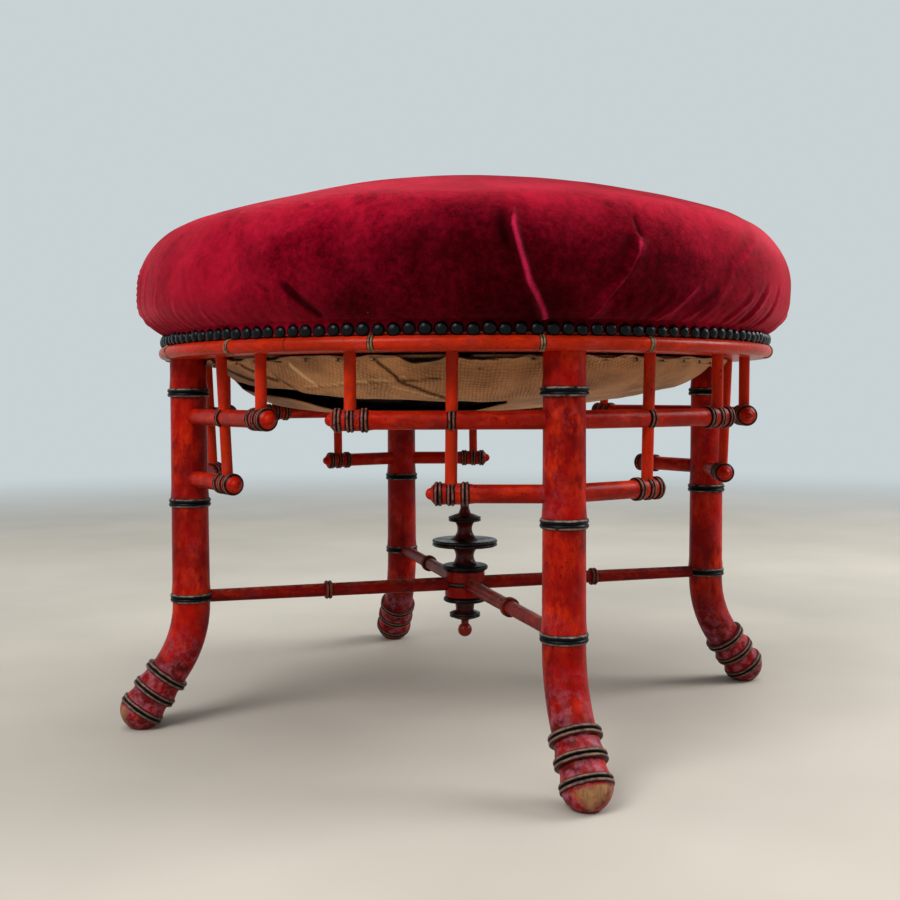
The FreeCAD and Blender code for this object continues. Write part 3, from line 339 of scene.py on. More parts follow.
legPaint = {
    "circle": 250.0,
    "nodeHeights": (290, 195, 112),
    "footStart": (269.4, 48.0),
    "splay": 36.5,
    "collars": (4.5, 21.9, 39.3),
    "bareFrom": 43.4,
    "bareOut": 303.0,
}
armPaint = {
    "upper": {"lean": 17.0, "length": 173.0, "nodes": (81.2,)},
    "lower": {"lean": 18.5, "length": 100.5, "nodes": ()},
    "collarsFromTip": (29.0, 18.6, 9.4),
}
crossPaint = {
    "stretcherNode": 129.0,
    "hubCollars": (97.0, 127.0),
    "hubGroove": 112.0,
}
# brush marks of pieces that lie flat
flatBrush = (0.7, 0.7, 1.6)


def legLacquer():
    splay = math.radians(legPaint["splay"])
    down = (math.sin(splay), 0, -math.cos(splay))
    startOut, startUp = legPaint["footStart"]
    offset = startOut * down[0] + startUp * down[2]
    return lacquer("vermilionLegLacquer", [((0, 0, 1), 0, legPaint["nodeHeights"], "leg"),
                                           (down, offset, legPaint["collars"], "foot")],
                   foot={**legPaint, "down": down, "offset": offset})


def armLacquer(level):
    arm = armPaint[level]
    lean = math.radians(arm["lean"])
    direction = (-math.sin(lean), math.cos(lean), 0)
    places = [arm["length"] - collar for collar in armPaint["collarsFromTip"]]
    # the arms get a little painted light
    return lacquer("vermilionArmLacquer_" + level,
                   [(direction, -legPaint["circle"] * math.sin(lean),
                     [*places, *arm["nodes"]], "arm")], paintedLight=0.1, brush=flatBrush)


finialLook = {
    "neck": (9.5, 11.5),
    "ball": (76, 78),
    "rubbed": (12, 4, 0.55, (0.45, 0.0), (0.7, 0.8)),
    "black": ("#0f0b0c", "#35211f"),
    "neckGrain": (8, 4, 0.55, (0.35, 0.0), (0.6, 1.0)),
    "neckRed": ("#240306", "#560809"),
    "ballRed": ("#5c0a06", "#8c1c0c"),
    "specular": 0.16,
}


def blackLacquer():
    # Black oil lacquer on turned beech; the turned necks and the ball were left dark red.
    # Worn to brown on the rims.
    look = finialLook
    material, add, place = startMaterial("blackFinialLacquer")
    x, y, up = add("split", place)
    reach = add("length", add("join", x, y))
    neck = add("fade", reach, *(edge * mm for edge in look["neck"]), 1.0, 0.0)
    ball = add("fade", up, *(edge * mm for edge in look["ball"]), 1.0, 0.0)
    rubbed = grain(add, place, *look["rubbed"])
    red = add("mix", grain(add, place, *look["neckGrain"]), *look["neckRed"])
    ballRed = add("mix", grain(add, place, 6, 4), *look["ballRed"])
    colour = add("mix", neck, add("mix", rubbed, *look["black"]), add("mix", ball, red, ballRed))
    return closeMaterial(material, add, grain(add, place, 3, 4), 0.4, 0.2, {
        "Base Color": colour, "Roughness": add("MULTIPLY_ADD", rubbed, 0.2, 0.26),
        "IOR": 1.5, "Specular IOR Level": look["specular"]})


velvetLook = {
    "ground": "#2e0107",
    "pile": "#a00624",
    "rubbed": "#b81832",
    # colour of the painted shade on the front and crown
    "faceOnShade": "#1e0002",
    # painted highlight and painted shade of the folds
    "foldHighlight": "#e02a58",
    "foldShade": "#0c0001",
    "lintColour": "#c79a90",
    "frayed": "#a0524c",
    "sheen": (0.71, 0.145, 0.17, 1.0),
    "sheenWeight": 0.76,
    "sheenRoughness": 0.34,
    "patches": (44.0, 6, 0.62, (0.36, 0.0), (0.62, 1.0), None, 0.6),
    "mottle": (5.5, 6, 0.78, (0.29, 0.0), (0.7, 1.0), None, 0.25),
    "nap": (1.6, 4, 0.75, (0.3, 0.0), (0.7, 1.0)),
    "lint": 34.0,
    # the painted shade on the front: its direction, reach, fall with height and fade
    "faceOnShadeTowards": -8.0,
    "faceOnShadeReach": 0.29,
    "faceOnShadeFall": -2.2,
    "faceOnShadeFade": (0.0, 0.46, 0.0, 0.95),
    # the painted shade on the crown
    "crownShadeTowards": (1.5, 0.0, 12.0),
    "crownShadeFade": (5.15, 5.6, 0.0, 0.4),
    "frayedFade": (0.4, 1.2),
    # how the painted fold highlight and shade fade in
    "foldHighlightFade": (0.05, 1.0, 0.0, 0.8),
    "foldShadeFade": (-0.05, -0.9, 0.0, 0.85),
}


def velvet():
    # Cotton velvet: a short pile, standing up, that is dark face on and bright at a grazing angle.
    # Painted shade darkens its front, its lower part and its crown, and painted highlights and
    # shade run along its folds. The threads are under 0.5 mm, so only its tufts are drawn.
    look = velvetLook
    material, add, place = startMaterial("crimsonVelvet")
    patches, mottle, nap = (grain(add, place, *look[key]) for key in ("patches", "mottle", "nap"))
    brushed = add("MULTIPLY_ADD", mottle, 0.65, add("MULTIPLY", nap, 0.35))
    colour = add("mix", brushed, look["ground"], look["pile"])
    colour = add("mix", add("MULTIPLY", patches, 0.55), colour, look["rubbed"])
    # painted shade over the front of the cushion, deeper towards its lower edge
    turn = math.radians(look["faceOnShadeTowards"] - 90)
    facing = add("along", place, (
        math.cos(turn) / look["faceOnShadeReach"], math.sin(turn) / look["faceOnShadeReach"],
        look["faceOnShadeFall"]))
    facing = add("MULTIPLY_ADD", grain(add, place, 80, 4), 0.5, facing)
    facing = add("MULTIPLY_ADD", mottle, -0.12, facing)
    faceOnShade = add("fade", facing, *look["faceOnShadeFade"])
    colour = add("mix", faceOnShade, colour, look["faceOnShade"])
    # painted shade over the crown, deeper towards the right
    crownShade = add("fade", add("along", place, look["crownShadeTowards"]), *look["crownShadeFade"])
    colour = add("mix", crownShade, colour, look["faceOnShade"])
    # painted highlights on the fold crests and painted shade beside them
    folds = add("MULTIPLY", add("foldTone"), add("MULTIPLY_ADD", brushed, 0.7, 0.6))
    for tone, fade in ("foldHighlight", look["foldHighlightFade"]), ("foldShade", look["foldShadeFade"]):
        colour = add("mix", add("fade", folds, *fade), colour, look[tone])
    specks = add("cells", place, perMetre(look["lint"]), 1.0)
    specks = add("fade", specks, 0.014, 0.02, 0.5, 0.0)
    colour = add("mix", specks, colour, look["lintColour"])
    # cut edge under the nails, frayed to pale thread
    height = add("ADD", waver(add, place, 3, 5, 4, 0.7), add("split", place)[2])
    frayed = add("fade", height, *(velvetLow[2] + edge * mm for edge in look["frayedFade"]),
                 0.6, 0.0)
    colour = add("mix", frayed, colour, look["frayed"])
    return closeMaterial(material, add, add("ADD", nap, mottle), 0.3, 0.5, {
        "Base Color": colour, "Roughness": 0.95, "Specular IOR Level": 0.0,
        "Sheen Weight": look["sheenWeight"], "Sheen Roughness": look["sheenRoughness"],
        "Sheen Tint": look["sheen"]})


clothLook = {
    "thread": 2.9,
    "turn": 12,
    "tones": ("#966540", "#dd9e68"),
    "stain": "#3a2010",
    # painted highlight and painted shade along the laps and tears
    "creaseLightShade": (("#f2cd9a", 0.05, 0.9, 0.0, 0.8), ("#120a05", -0.1, -1.0, 0.0, 0.95)),
    "worn": (30, 3, 0.55, (0.4, 0.25), (0.65, 1.0)),
    "fibres": (3.0, 5, 0.7, (0.3, 0.66), (0.7, 1.0), (1, 1, 0.5)),
    "spots": (9, 3, 0.5, (0.68, 0.0), (0.76, 0.6)),
    "bend": 6.0,
}


def hessian(name, tones, thread, turn=0.0, torn=False):
    # Plain woven jute: round, uneven threads in two directions. Real threads are 1 mm apart and
    # are drawn coarser, so that the weave shows from a step away.
    look = clothLook
    material, add, place = startMaterial(name)
    turned = add("mapping", place, Rotation=(0, 0, math.radians(turn)))
    uneven = add("colourNoise", turned, perMetre(22))
    bent = add("bend", uneven, (look["bend"] * mm, look["bend"] * mm, 0), turned)
    # a wave texture has 20 radians of phase in a unit of length
    scale = 2 * math.pi * perMetre(thread) / 20
    weave = add("MULTIPLY", *(add(kind, bent, scale) for kind in ("wavesX", "wavesY")))
    colour = add("tint", 0.75,
                 grain(add, place, 52, 5, 0.55, (0.34, tones[0]), (0.62, tones[1])),
                 grain(add, place, *look["fibres"]))
    pits = add("MULTIPLY", add("fade", weave, 0.4, 0.0, 0.0, 0.5),
               grain(add, place, *look["worn"]))
    colour = add("mix", pits, colour, look["stain"])
    colour = add("mix", grain(add, place, *look["spots"]), colour, look["stain"])
    # painted highlights and painted shade along the laps, tears and torn edge, from the vertex
    # attribute
    if torn:
        for tone, *fade in look["creaseLightShade"]:
            colour = add("mix", add("fade", add("creaseTone"), *fade), colour, tone)
    return closeMaterial(material, add, weave, 0.5, 0.35, {
        "Base Color": colour, "Roughness": 0.95, "Specular IOR Level": 0.12,
        "Sheen Weight": 0.12, "Sheen Roughness": 0.5})


def plainFinish(name, tones, size, roughness, metallic=0.0, stretch=None, relief=0.15, sheen=0.0,
                specular=0.5):
    # finishes of the pieces inside the seat and of the small metal fasteners
    material, add, place = startMaterial(name)
    tone = grain(add, place, size, 5, 0.6, (0.32, tones[0]), (0.68, tones[1]), stretch)
    dull = grain(add, place, size / 2, 3, 0.55, (0.3, roughness - 0.08), (0.7, roughness + 0.08))
    height = grain(add, place, size / 3, 4, 0.6, stretch=stretch)
    return closeMaterial(material, add, height, 0.5, relief, {
        "Base Color": tone, "Roughness": dull, "Metallic": metallic, "Sheen Weight": sheen,
        "Specular IOR Level": specular})


def dress(node, material):
    mesh = nodes[node].data
    mesh.materials.clear()
    mesh.materials.append(material)


def railNodeTurns():
    return [turn + place for leg, turn in legTurns.items() for place in railNode["turns"][leg]]


def dressFrame():
    # every CAD node that stays in view gets its finish
    upwards = (0, 0, 1)
    # the spindles, rail and arms get painted light; the stretchers and hub, in the seat's shadow,
    # painted shade
    lacquered = {
        "_leg": legLacquer(),
        "_spindle_": lacquer("vermilionSpindleLacquer", paintedLight=0.38),
        "_rail": lacquer("vermilionRailLacquer", railNodes=railNodeTurns(), paintedLight=0.32, shine=0.3,
                         brush=(1, 1, 2.5)),
        "_upper_arm_": armLacquer("upper"),
        "_lower_arm_": armLacquer("lower"),
        "_stretcher": lacquer(
            "vermilionStretcherLacquer",
            [((1, 0, 0), 0, (crossPaint["stretcherNode"],), "stretcher")],
            dark=0.5, dusty=True, brush=flatBrush),
        "hub_barrel": lacquer(
            "vermilionHubLacquer",
            [(upwards, 0, crossPaint["hubCollars"], "collar"),
             (upwards, 0, (crossPaint["hubGroove"],), "groove")], dark=0.4),
    }
    for name in nodes:
        for part, material in lacquered.items():
            if part in name:
                dress(name, material)
    black = blackLacquer()
    webbing = plainFinish("juteWebbing", ("#6b4d2e", "#8f6d47"), 3, 0.9, sheen=0.2, relief=0.5)
    for name, material in {
        "top_finial": black,
        "bottom_drop": black,
        "rail_dowels": plainFinish("bareBeech", ("#b08a5c", "#d0ad80"), 20, 0.6,
                                   stretch=(1, 1, 0.2)),
        "webbing_side_to_side": webbing,
        "webbing_front_to_back": webbing,
        "spring_hessian": hessian("springHessian", ("#7c5a34", "#a98458"), 1.7),
        "stuffing": plainFinish("curledHair", ("#1c120b", "#4a3421"), 3, 0.9, relief=0.8,
                                sheen=0.2),
        "calico_cover": plainFinish("calico", ("#c9bb98", "#ddd0b0"), 1.5, 0.9, sheen=0.2),
        "seat_springs": plainFinish("copperedSpringWire", ("#6b4632", "#9c6b4b"), 12, 0.4, 1.0),
        "base_tacks": plainFinish("rustedTackSteel", ("#5f432a", "#86633f"), 3, 0.8),
    }.items():
        dress(name, material)
    print("finishes given:", len(bpy.data.materials), "materials")


# Modelling helpers

def showOnly(*pieces):
    bpy.ops.object.select_all(action="DESELECT")
    for piece in pieces:
        piece.select_set(True)
    bpy.context.view_layer.objects.active = pieces[0]


def thicken(piece, thickness, offset):
    showOnly(piece)
    modifier = piece.modifiers.new("Solidify", "SOLIDIFY")
    modifier.thickness, modifier.offset = thickness * mm, offset
    bpy.ops.object.modifier_apply(modifier=modifier.name)


def readVertices(piece, field):
    flat = np.empty(len(piece.data.vertices) * 3)
    piece.data.vertices.foreach_get(field, flat)
    return flat.reshape(-1, 3)


def movePlaces(piece, places):
    piece.data.vertices.foreach_set("co", places.ravel())
    piece.data.update()


def smoothRise(values, start, end):
    share = np.clip((values - start) / (end - start), 0, 1)
    return share * share * (3 - 2 * share)


def noiseAt(places, waves):
    # waves: size and depth in mm
    return sum(depth * np.array([noise.noise(Vector(p) / (size * mm)) for p in places])
               for size, depth in waves)


def ringsByExtrusion(name, segments, profile):
    # a mesh circle at the first (radius, height), extruded from ring to ring
    radius, height = profile[0]
    bpy.ops.mesh.primitive_circle_add(vertices=segments, radius=radius, fill_type="NOTHING",
                                      location=(0, 0, height))
    piece = bpy.context.object
    piece.name = piece.data.name = name
    bpy.ops.object.transform_apply(location=True, rotation=True, scale=True)
    bpy.ops.object.mode_set(mode="EDIT")
    bpy.ops.mesh.select_all(action="SELECT")
    for nextRadius, nextHeight in profile[1:]:
        bpy.ops.mesh.extrude_edges_move(
            TRANSFORM_OT_translate={"value": (0, 0, nextHeight - height)})
        if nextRadius > 0:
            share = nextRadius / radius
            bpy.ops.transform.resize(value=(share, share, 1), center_override=(0, 0, nextHeight))
        else:
            bpy.ops.mesh.merge(type="CENTER")
        radius, height = nextRadius, nextHeight
    bpy.ops.mesh.select_all(action="SELECT")
    bpy.ops.mesh.normals_make_consistent(inside=False)
    bpy.ops.object.mode_set(mode="OBJECT")
    return piece


def crowdTowards(piece, side, share):
    # makes the mesh finer towards one side, in degrees from the front leg
    places = readVertices(piece, "co")
    x, y = places[:, 0].copy(), places[:, 1].copy()
    shift = -share * np.sin(np.arctan2(y, x) + math.pi / 2 - math.radians(side))
    places[:, 0] = x * np.cos(shift) - y * np.sin(shift)
    places[:, 1] = x * np.sin(shift) + y * np.cos(shift)
    movePlaces(piece, places)


def cutBehind(place, direction):
    # cuts off and closes the active mesh behind a plane, and leaves it in edit mode
    bpy.ops.object.mode_set(mode="EDIT")
    bpy.ops.mesh.select_all(action="SELECT")
    bpy.ops.mesh.bisect(plane_co=place, plane_no=direction, clear_inner=True, use_fill=True)
    bpy.ops.mesh.select_all(action="SELECT")


def joinCopies(pattern, name, places):
    # one copy of the pattern at each matrix, as one mesh
    copies = []
    for place in places:
        copy = pattern.copy()
        copy.data = pattern.data.copy()
        bpy.context.collection.objects.link(copy)
        copy.data.transform(place)
        copies.append(copy)
    bpy.data.objects.remove(pattern)
    showOnly(*copies)
    bpy.ops.object.join()
    piece = bpy.context.object
    piece.name = piece.data.name = name
    return piece


def keepTone(piece, name, values):
    # a number for each vertex, which the piece's material reads
    attribute = piece.data.attributes.new(name, "FLOAT", "POINT")
    attribute.data.foreach_set("value", np.clip(values, -1, 1).astype(np.float32))


def finish(piece, material):
    piece.data.materials.clear()
    piece.data.materials.append(material)
    showOnly(piece)
    bpy.ops.object.shade_smooth()
    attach(piece, "root")


# Cushion

cushion = {
    "segments": 608,
    "towardsFront": 0.5,
    "widest": 376.5,
    "shoulder": 50.0,
    "skirtOut": 4.5,
    "skirtRings": (0, 0.15, 0.4, 0.7, 1),
    "rings": {"tuck": 22, "shoulder": 34, "crown": 26},
    "fullness": 3.6,
    "railTop": 340.0,
    "skirtFade": 16.0,
    "frontRise": 0.044,
    "frontBlend": 80.0,
    "crownRise": 1.4,
    "crownReach": (150, 250),
    "riseOver": 120.0,
    "aside": 1.5,
    "asideFrom": (342, 362),
    "sink": 0.8,
    "thickness": 1.2,
    "unevenness": ((110.0, 1.8), (38.0, 0.7)),
    "fullnessShare": 0.3,
    "nails": 152,
    "nailPull": 1.0,
    "nailReach": 7.0,
}
# Each fold: its run over the cushion from point to point, in degrees from the front leg and height
# in mm; its width; how proud it stands; how deep the dip beside it is, and on which side; how wide
# and how strong its painted highlight or painted shade line is
cushionFolds = [
    (((-9.4, 407), (-9.9, 395), (-9.2, 382), (-7.8, 362),
      (-4.8, 341)), 3.2, 3.8, 1.3, 1, 0.7, 0.8),
    (((-11.4, 409), (-11.6, 396), (-11.0, 384)), 4.5, -0.5, 0, 1, 1, 0.5),
    (((8.9, 392), (8.4, 384)), 5.0, 1.4, 0.3, 1, 0.9, 0.5),
    (((8.9, 394), (8.2, 381), (6.2, 366), (3.5, 353), (2.2, 341)), 4.5, 1.8, 0.9, 1, 0.3, 0.4),
    (((8.6, 407), (8.8, 397), (9.2, 388)), 2.0, -0.9, 0, 1, 1, 0.9),
    (((19.6, 364), (16.0, 350), (13.7, 341)), 2.6, 1.8, 0.9, 1),
    (((15.9, 359), (14.2, 349), (12.0, 341)), 2.0, 1.2, 0.7, 1),
    (((24.5, 360), (21.5, 350), (19.0, 341)), 2.2, 1.2, 0.6, 1),
    (((-42.5, 365), (-40.4, 355), (-38.0, 343)), 2.6, -0.9, 0, -1, 1.3, 1.0),
    (((-44.6, 367), (-42.5, 357), (-40.2, 345)), 2.4, 1.4, 0.3, -1, 0.5, 0.35),
    (((-47.0, 366), (-45.0, 359)), 2.0, -0.6, 0, 1, 1, 0.6),
    (((-41.0, 418), (-39.0, 414)), 2.0, 0.8, 0, 1),
    (((-79.5, 398), (-82.5, 379), (-85.8, 360), (-87.0, 342)), 1.8, 1.9, 1.2, 1),
    (((-82.5, 396), (-85.5, 376), (-88.0, 358), (-89.5, 342)), 1.8, 2.1, 1.2, 1),
    (((-76.5, 390), (-79.0, 374), (-81.0, 356), (-82.0, 342)), 1.8, 1.4, 0.8, 1),
    (((-72.0, 372), (-74.0, 357), (-75.0, 342)), 1.7, 1.1, 0.7, 1),
    (((-66.0, 362), (-67.5, 352), (-68.0, 342)), 1.7, 1.0, 0.6, 1),
    (((-59.0, 358), (-60.0, 350), (-60.0, 342)), 1.6, 0.8, 0.5, 1),
    (((38.9, 369), (35.9, 356), (34.0, 342)), 2.2, 1.7, 1.0, 1),
    (((33.5, 362), (31.0, 352), (29.0, 342)), 2.0, 1.3, 0.8, 1),
    (((44.0, 372), (42.5, 357), (41.0, 342)), 2.0, 1.5, 0.9, 1),
    (((37.6, 407), (27.0, 376), (22.7, 344)), 4.0, 0.9, 0.5, 1, 0.5, 0.3),
]
gathers = {"from": 52, "to": 262, "step": 5.2, "seed": 7}


def arcPoints(centre, radius, startTurn, endTurn, steps):
    turns = [startTurn + (endTurn - startTurn) * i / steps for i in range(1, steps + 1)]
    return [(centre[0] + radius * math.cos(t), centre[1] + radius * math.sin(t)) for t in turns]


def cushionProfile():
    # skirt, tuck, shoulder and crown, in metres
    wide, top = velvetHigh[0], velvetHigh[2]
    widest, shoulder, railTop = (cushion[k] * mm for k in ("widest", "shoulder", "railTop"))
    skirt = railHigh[0] - cushion["skirtOut"] * mm
    rise = top - widest
    crown = (wide ** 2 + rise ** 2 - 2 * wide * shoulder) / (2 * (rise - shoulder))
    join = math.atan2(widest - (top - crown), wide - shoulder)
    rings = cushion["rings"]
    points = [(skirt, velvetLow[2] + (railTop - velvetLow[2]) * share)
              for share in cushion["skirtRings"]]
    for step in range(1, rings["tuck"] + 1):
        share = step / rings["tuck"]
        points.append((skirt + (wide - skirt) * (1 - (1 - share) ** cushion["fullness"]),
                       railTop + (widest - railTop) * share))
    points += arcPoints((wide - shoulder, widest), shoulder, 0, join, rings["shoulder"])
    # the last ring before the pole
    nearPole = math.pi / 2 - 0.012
    points += arcPoints((0, top - crown), crown, join, nearPole, rings["crown"])
    return points + [(0, top)]


def surfacePoint(profile, turn, height):
    # the point of the cushion's outer face at a turn from the front leg and a height
    radius = float(np.interp(height * mm, [h for _, h in profile], [r for r, _ in profile]))
    angle = math.radians(turn - 90)
    return np.array((radius * math.cos(angle), radius * math.sin(angle), height * mm))


def alongRun(places, run, sideways):
    # for each place: distance to the nearest point of the run, how far that is to one side, and
    # its share of the run's length
    lengths = [np.linalg.norm(b - a) for a, b in zip(run, run[1:])]
    whole, walked = sum(lengths), 0.0
    best = np.full(len(places), 1e3)
    signed, share = np.zeros(len(places)), np.zeros(len(places))
    for a, b, length in zip(run, run[1:], lengths):
        forwards = (b - a) / length
        t = np.clip((places - a) @ forwards, 0, length)
        away = places - (a + t[:, None] * forwards)
        distance = np.linalg.norm(away, axis=1)
        nearer = distance < best
        best = np.where(nearer, distance, best)
        signed = np.where(nearer, away @ sideways(forwards, (a + b) / 2), signed)
        share = np.where(nearer, (walked + t) / whole, share)
        walked += length
    return best, signed, share


def besideFold(forwards, middle):
    outward = middle * (1, 1, 0)
    return np.cross(forwards, outward / np.linalg.norm(outward))


def foldLift(places, profile, corners, width, rise, hollow, side, line=0.5, tone=0.6):
    run = []
    for (turn, height), (nextTurn, nextHeight) in zip(corners, corners[1:]):
        steps = max(2, int(abs(nextHeight - height) / 3))
        run += [surfacePoint(profile, turn + (nextTurn - turn) * i / steps,
                             height + (nextHeight - height) * i / steps) for i in range(steps)]
    run.append(surfacePoint(profile, *corners[-1]))
    best, signed, share = alongRun(places, run, besideFold)
    width *= mm
    # it starts gently and ends at the nails
    taper = np.clip(share / 0.18, 0, 1) ** 0.7 * np.clip((1.02 - share) / 0.05, 0, 1)
    beside = np.exp(-((signed * side - 1.9 * width) / (1.3 * width)) ** 2)
    beside *= np.exp(-(best / (4 * width)) ** 2) * taper
    crest = np.exp(-(best / width) ** 2) * taper
    # painted highlight along a raised fold, painted shade along a sunken one and in the dip beside
    # it
    onLine = np.exp(-(best / (line * width)) ** 2) * taper
    shade = np.sign(rise) * onLine * tone - 0.45 * beside * np.sign(hollow)
    return rise * mm * crest - hollow * mm * beside, shade


def strayFolds():
    # small pulls above the nails on the rest of the edge, from a fixed seed
    draw = random.Random(gathers["seed"])
    folds = []
    turn = gathers["from"]
    while turn < gathers["to"]:
        lean, reach = draw.uniform(-5, 9), draw.uniform(10, 48)
        low = turn + draw.uniform(-1.5, 1.5)
        run = ((low + lean * reach / 40, 344 + reach), (low + lean * reach / 90, 343 + reach / 2),
               (low, 341))
        folds.append((run, draw.uniform(1.7, 3.6), draw.uniform(0.5, 1.9),
                      draw.uniform(0.2, 0.9), draw.choice((-1, 1))))
        turn += gathers["step"] * draw.uniform(0.5, 1.6)
    return folds


def makeCushion():
    profile = cushionProfile()
    piece = ringsByExtrusion("velvetCover", cushion["segments"], profile)
    # the mesh is finer at the front, where its folds are
    crowdTowards(piece, velvetLook["faceOnShadeTowards"], cushion["towardsFront"])
    places, normals = readVertices(piece, "co"), readVertices(piece, "normal")
    first = places.copy()
    deepest = sum(depth for _, depth in cushion["unevenness"])
    lift = (noiseAt(places, cushion["unevenness"]) + cushion["fullnessShare"] * deepest) * mm
    # the painted highlight and shade of each fold, which the velvet's material reads
    tone = np.zeros(len(places))
    for fold in cushionFolds + strayFolds():
        raised, line = foldLift(places, profile, *fold)
        lift += raised
        tone += line
    # the velvet is drawn in under each nail and puffs out a little between them
    turns = np.arctan2(places[:, 1], places[:, 0]) * cushion["nails"] / 2
    railTop = cushion["railTop"] * mm
    near = np.exp(-np.clip(places[:, 2] - railTop, 0, 1) / (cushion["nailReach"] * mm))
    above = places[:, 2] > railTop - 4 * mm
    puffs = cushion["nailPull"] * mm * near * (np.abs(np.sin(turns)) - 0.5)
    lift += np.where(above, puffs, 0)
    lift *= np.clip((places[:, 2] - velvetLow[2]) / (cushion["skirtFade"] * mm), 0, 1)
    places += normals * lift[:, None]
    # the stuffing is a little fuller at the front and in the middle
    high = np.clip((places[:, 2] - railTop) / (cushion["riseOver"] * mm), 0, 1)
    forward = (np.hypot(places[:, 1], cushion["frontBlend"] * mm) - places[:, 1]) / 2
    places[:, 2] += cushion["frontRise"] * high * forward
    reach = np.hypot(places[:, 0], places[:, 1]) / mm
    middle = 1 - smoothRise(reach, *cushion["crownReach"])
    places[:, 2] += cushion["crownRise"] * mm * middle * high
    places[:, 0] -= cushion["aside"] * mm * smoothRise(places[:, 2] / mm, *cushion["asideFrom"])
    # it never sinks to the calico below
    sunk = np.sum((places - first) * normals, axis=1) + cushion["sink"] * mm
    places -= normals * np.minimum(sunk, 0)[:, None]
    movePlaces(piece, places)
    keepTone(piece, "foldTone", tone)
    thicken(piece, cushion["thickness"], -1)
    finish(piece, velvet())
    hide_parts("velvet_cover")
    print("cushion made:", len(piece.data.polygons), "faces")


# Decorative nails

nailHead = {
    "perRail": 38,
    "radius": 5.35,
    "height": 3.4,
    "stands": 333.6,
    "sunk": 0.05,
    "turnDrift": 0.0012,
    "tilt": 8.0,
    "drift": 0.45,
    "sizes": (0.93, 1.05),
    "seed": 3,
}


def makeNails():
    # one domed head is modelled, then copied round the edge with small differences
    bpy.ops.mesh.primitive_uv_sphere_add(segments=12, ring_count=8, radius=nailHead["radius"] * mm)
    pattern = bpy.context.object
    cutBehind((0, 0, 0), (0, 0, 1))
    bpy.ops.transform.resize(value=(1, 1, nailHead["height"] / nailHead["radius"]),
                             center_override=(0, 0, 0))
    bpy.ops.object.mode_set(mode="OBJECT")
    draw = random.Random(nailHead["seed"])
    seat = nailReach - (nailHead["height"] - nailHead["sunk"]) * mm
    count = nailHead["perRail"] * len(legTurns)
    tilt = math.radians(nailHead["tilt"])
    places = []
    for number in range(count):
        turn = (number + 0.5) * 2 * math.pi / count + draw.uniform(-1, 1) * nailHead["turnDrift"]
        lean = Euler((draw.uniform(-tilt, tilt), math.pi / 2 + draw.uniform(-tilt, tilt), 0))
        height = (nailHead["stands"] + draw.uniform(-1, 1) * nailHead["drift"]) * mm
        size = draw.uniform(*nailHead["sizes"])
        places.append(Matrix.Rotation(turn, 4, "Z") @ Matrix.Translation((seat, 0, height))
                      @ lean.to_matrix().to_4x4() @ Matrix.Scale(size, 4))
    piece = joinCopies(pattern, "decorativeNails", places)
    # domed steel heads under glossy blue-black japan
    finish(piece, plainFinish("blackJapan", ("#010204", "#05070b"), 4, 0.25, relief=0.4,
                              specular=0.14))
    bpy.ops.object.shade_smooth_by_angle(angle=math.radians(60))
    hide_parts("decorative_nails")
    print("nails made:", count)


# Ring nodes on the rail's moulding

railNode = {
    "turns": {"front": (-30.6, -5.2, 13.0), "right": (-33.5, -9.0, 10.5, 33.0),
              "back": (-30.0, -7.0, 14.5), "left": (-34.0, -12.0, 8.5, 32.6)},
    "moulding": 10.6,
    "bandsEnd": (10.4, 11.0),
    "stands": 0.6,
    "bead": 0.8,
    "pitch": 2.0,
    "cutBehind": -2.0,
    "drift": 3.0,
    "seed": 11,
}


def makeRailNodes():
    # each node of the false bamboo is a pair of thin beads round the moulding
    half = railNode["moulding"] / 2
    bpy.ops.mesh.primitive_torus_add(
        major_segments=28, minor_segments=8,
        major_radius=(half + railNode["stands"] - railNode["bead"] / 2) * mm,
        minor_radius=railNode["bead"] * mm, location=(0, 0, 0), rotation=(math.pi / 2, 0, 0))
    pattern = bpy.context.object
    bpy.ops.object.transform_apply(location=True, rotation=True, scale=True)
    cutBehind((railNode["cutBehind"] * mm, 0, 0), (1, 0, 0))
    bpy.ops.object.mode_set(mode="OBJECT")
    draw = random.Random(railNode["seed"])
    places = []
    for turn in railNodeTurns():
        for side in (-0.5, 0.5):
            lean = math.radians(draw.uniform(-1, 1) * railNode["drift"])
            places.append(
                Matrix.Rotation(math.radians(turn), 4, "Z")
                @ Matrix.Translation((railHigh[0] - half * mm, side * railNode["pitch"] * mm,
                                      railLow[2] + half * mm))
                @ Matrix.Rotation(lean, 4, "X"))
    piece = joinCopies(pattern, "railNodes", places)
    finish(piece, plainFinish("rubbedNodePaint", ("#1b0c0a", "#9a7648"), 5, 0.4, relief=0.2))
    print("rail nodes made:", len(places))


# Base cloth

baseCloth = {
    "segments": 560,
    "towardsTear": 0.3,
    "tearMiddle": -40.0,
    "underRail": 1.5,
    "rimRings": (236.5, 235.0, 233.0, 231.0, 228.5, 226.0, 224.0, 222.0, 220.0),
    "inner": 222.0,
    # depth of the cloth: radius of the shoulder, drop at the side, drop in the middle
    "sound": (182.0, 21.0, 19.0),
    "torn": (150.0, 36.0, 7.0),
    "tornSide": (-150.0, -110.0, -25.0, 20.0),
    "slit": (176.0, 173.0),
    "tornFrom": -93.0,
    "tornTo": -5.0,
    "tornBelly": (60, 1.5),
    "tornCurl": -0.12,
    "billows": ((46.0, 1.1), (15.0, 0.5)),
    "thickness": 0.9,
}
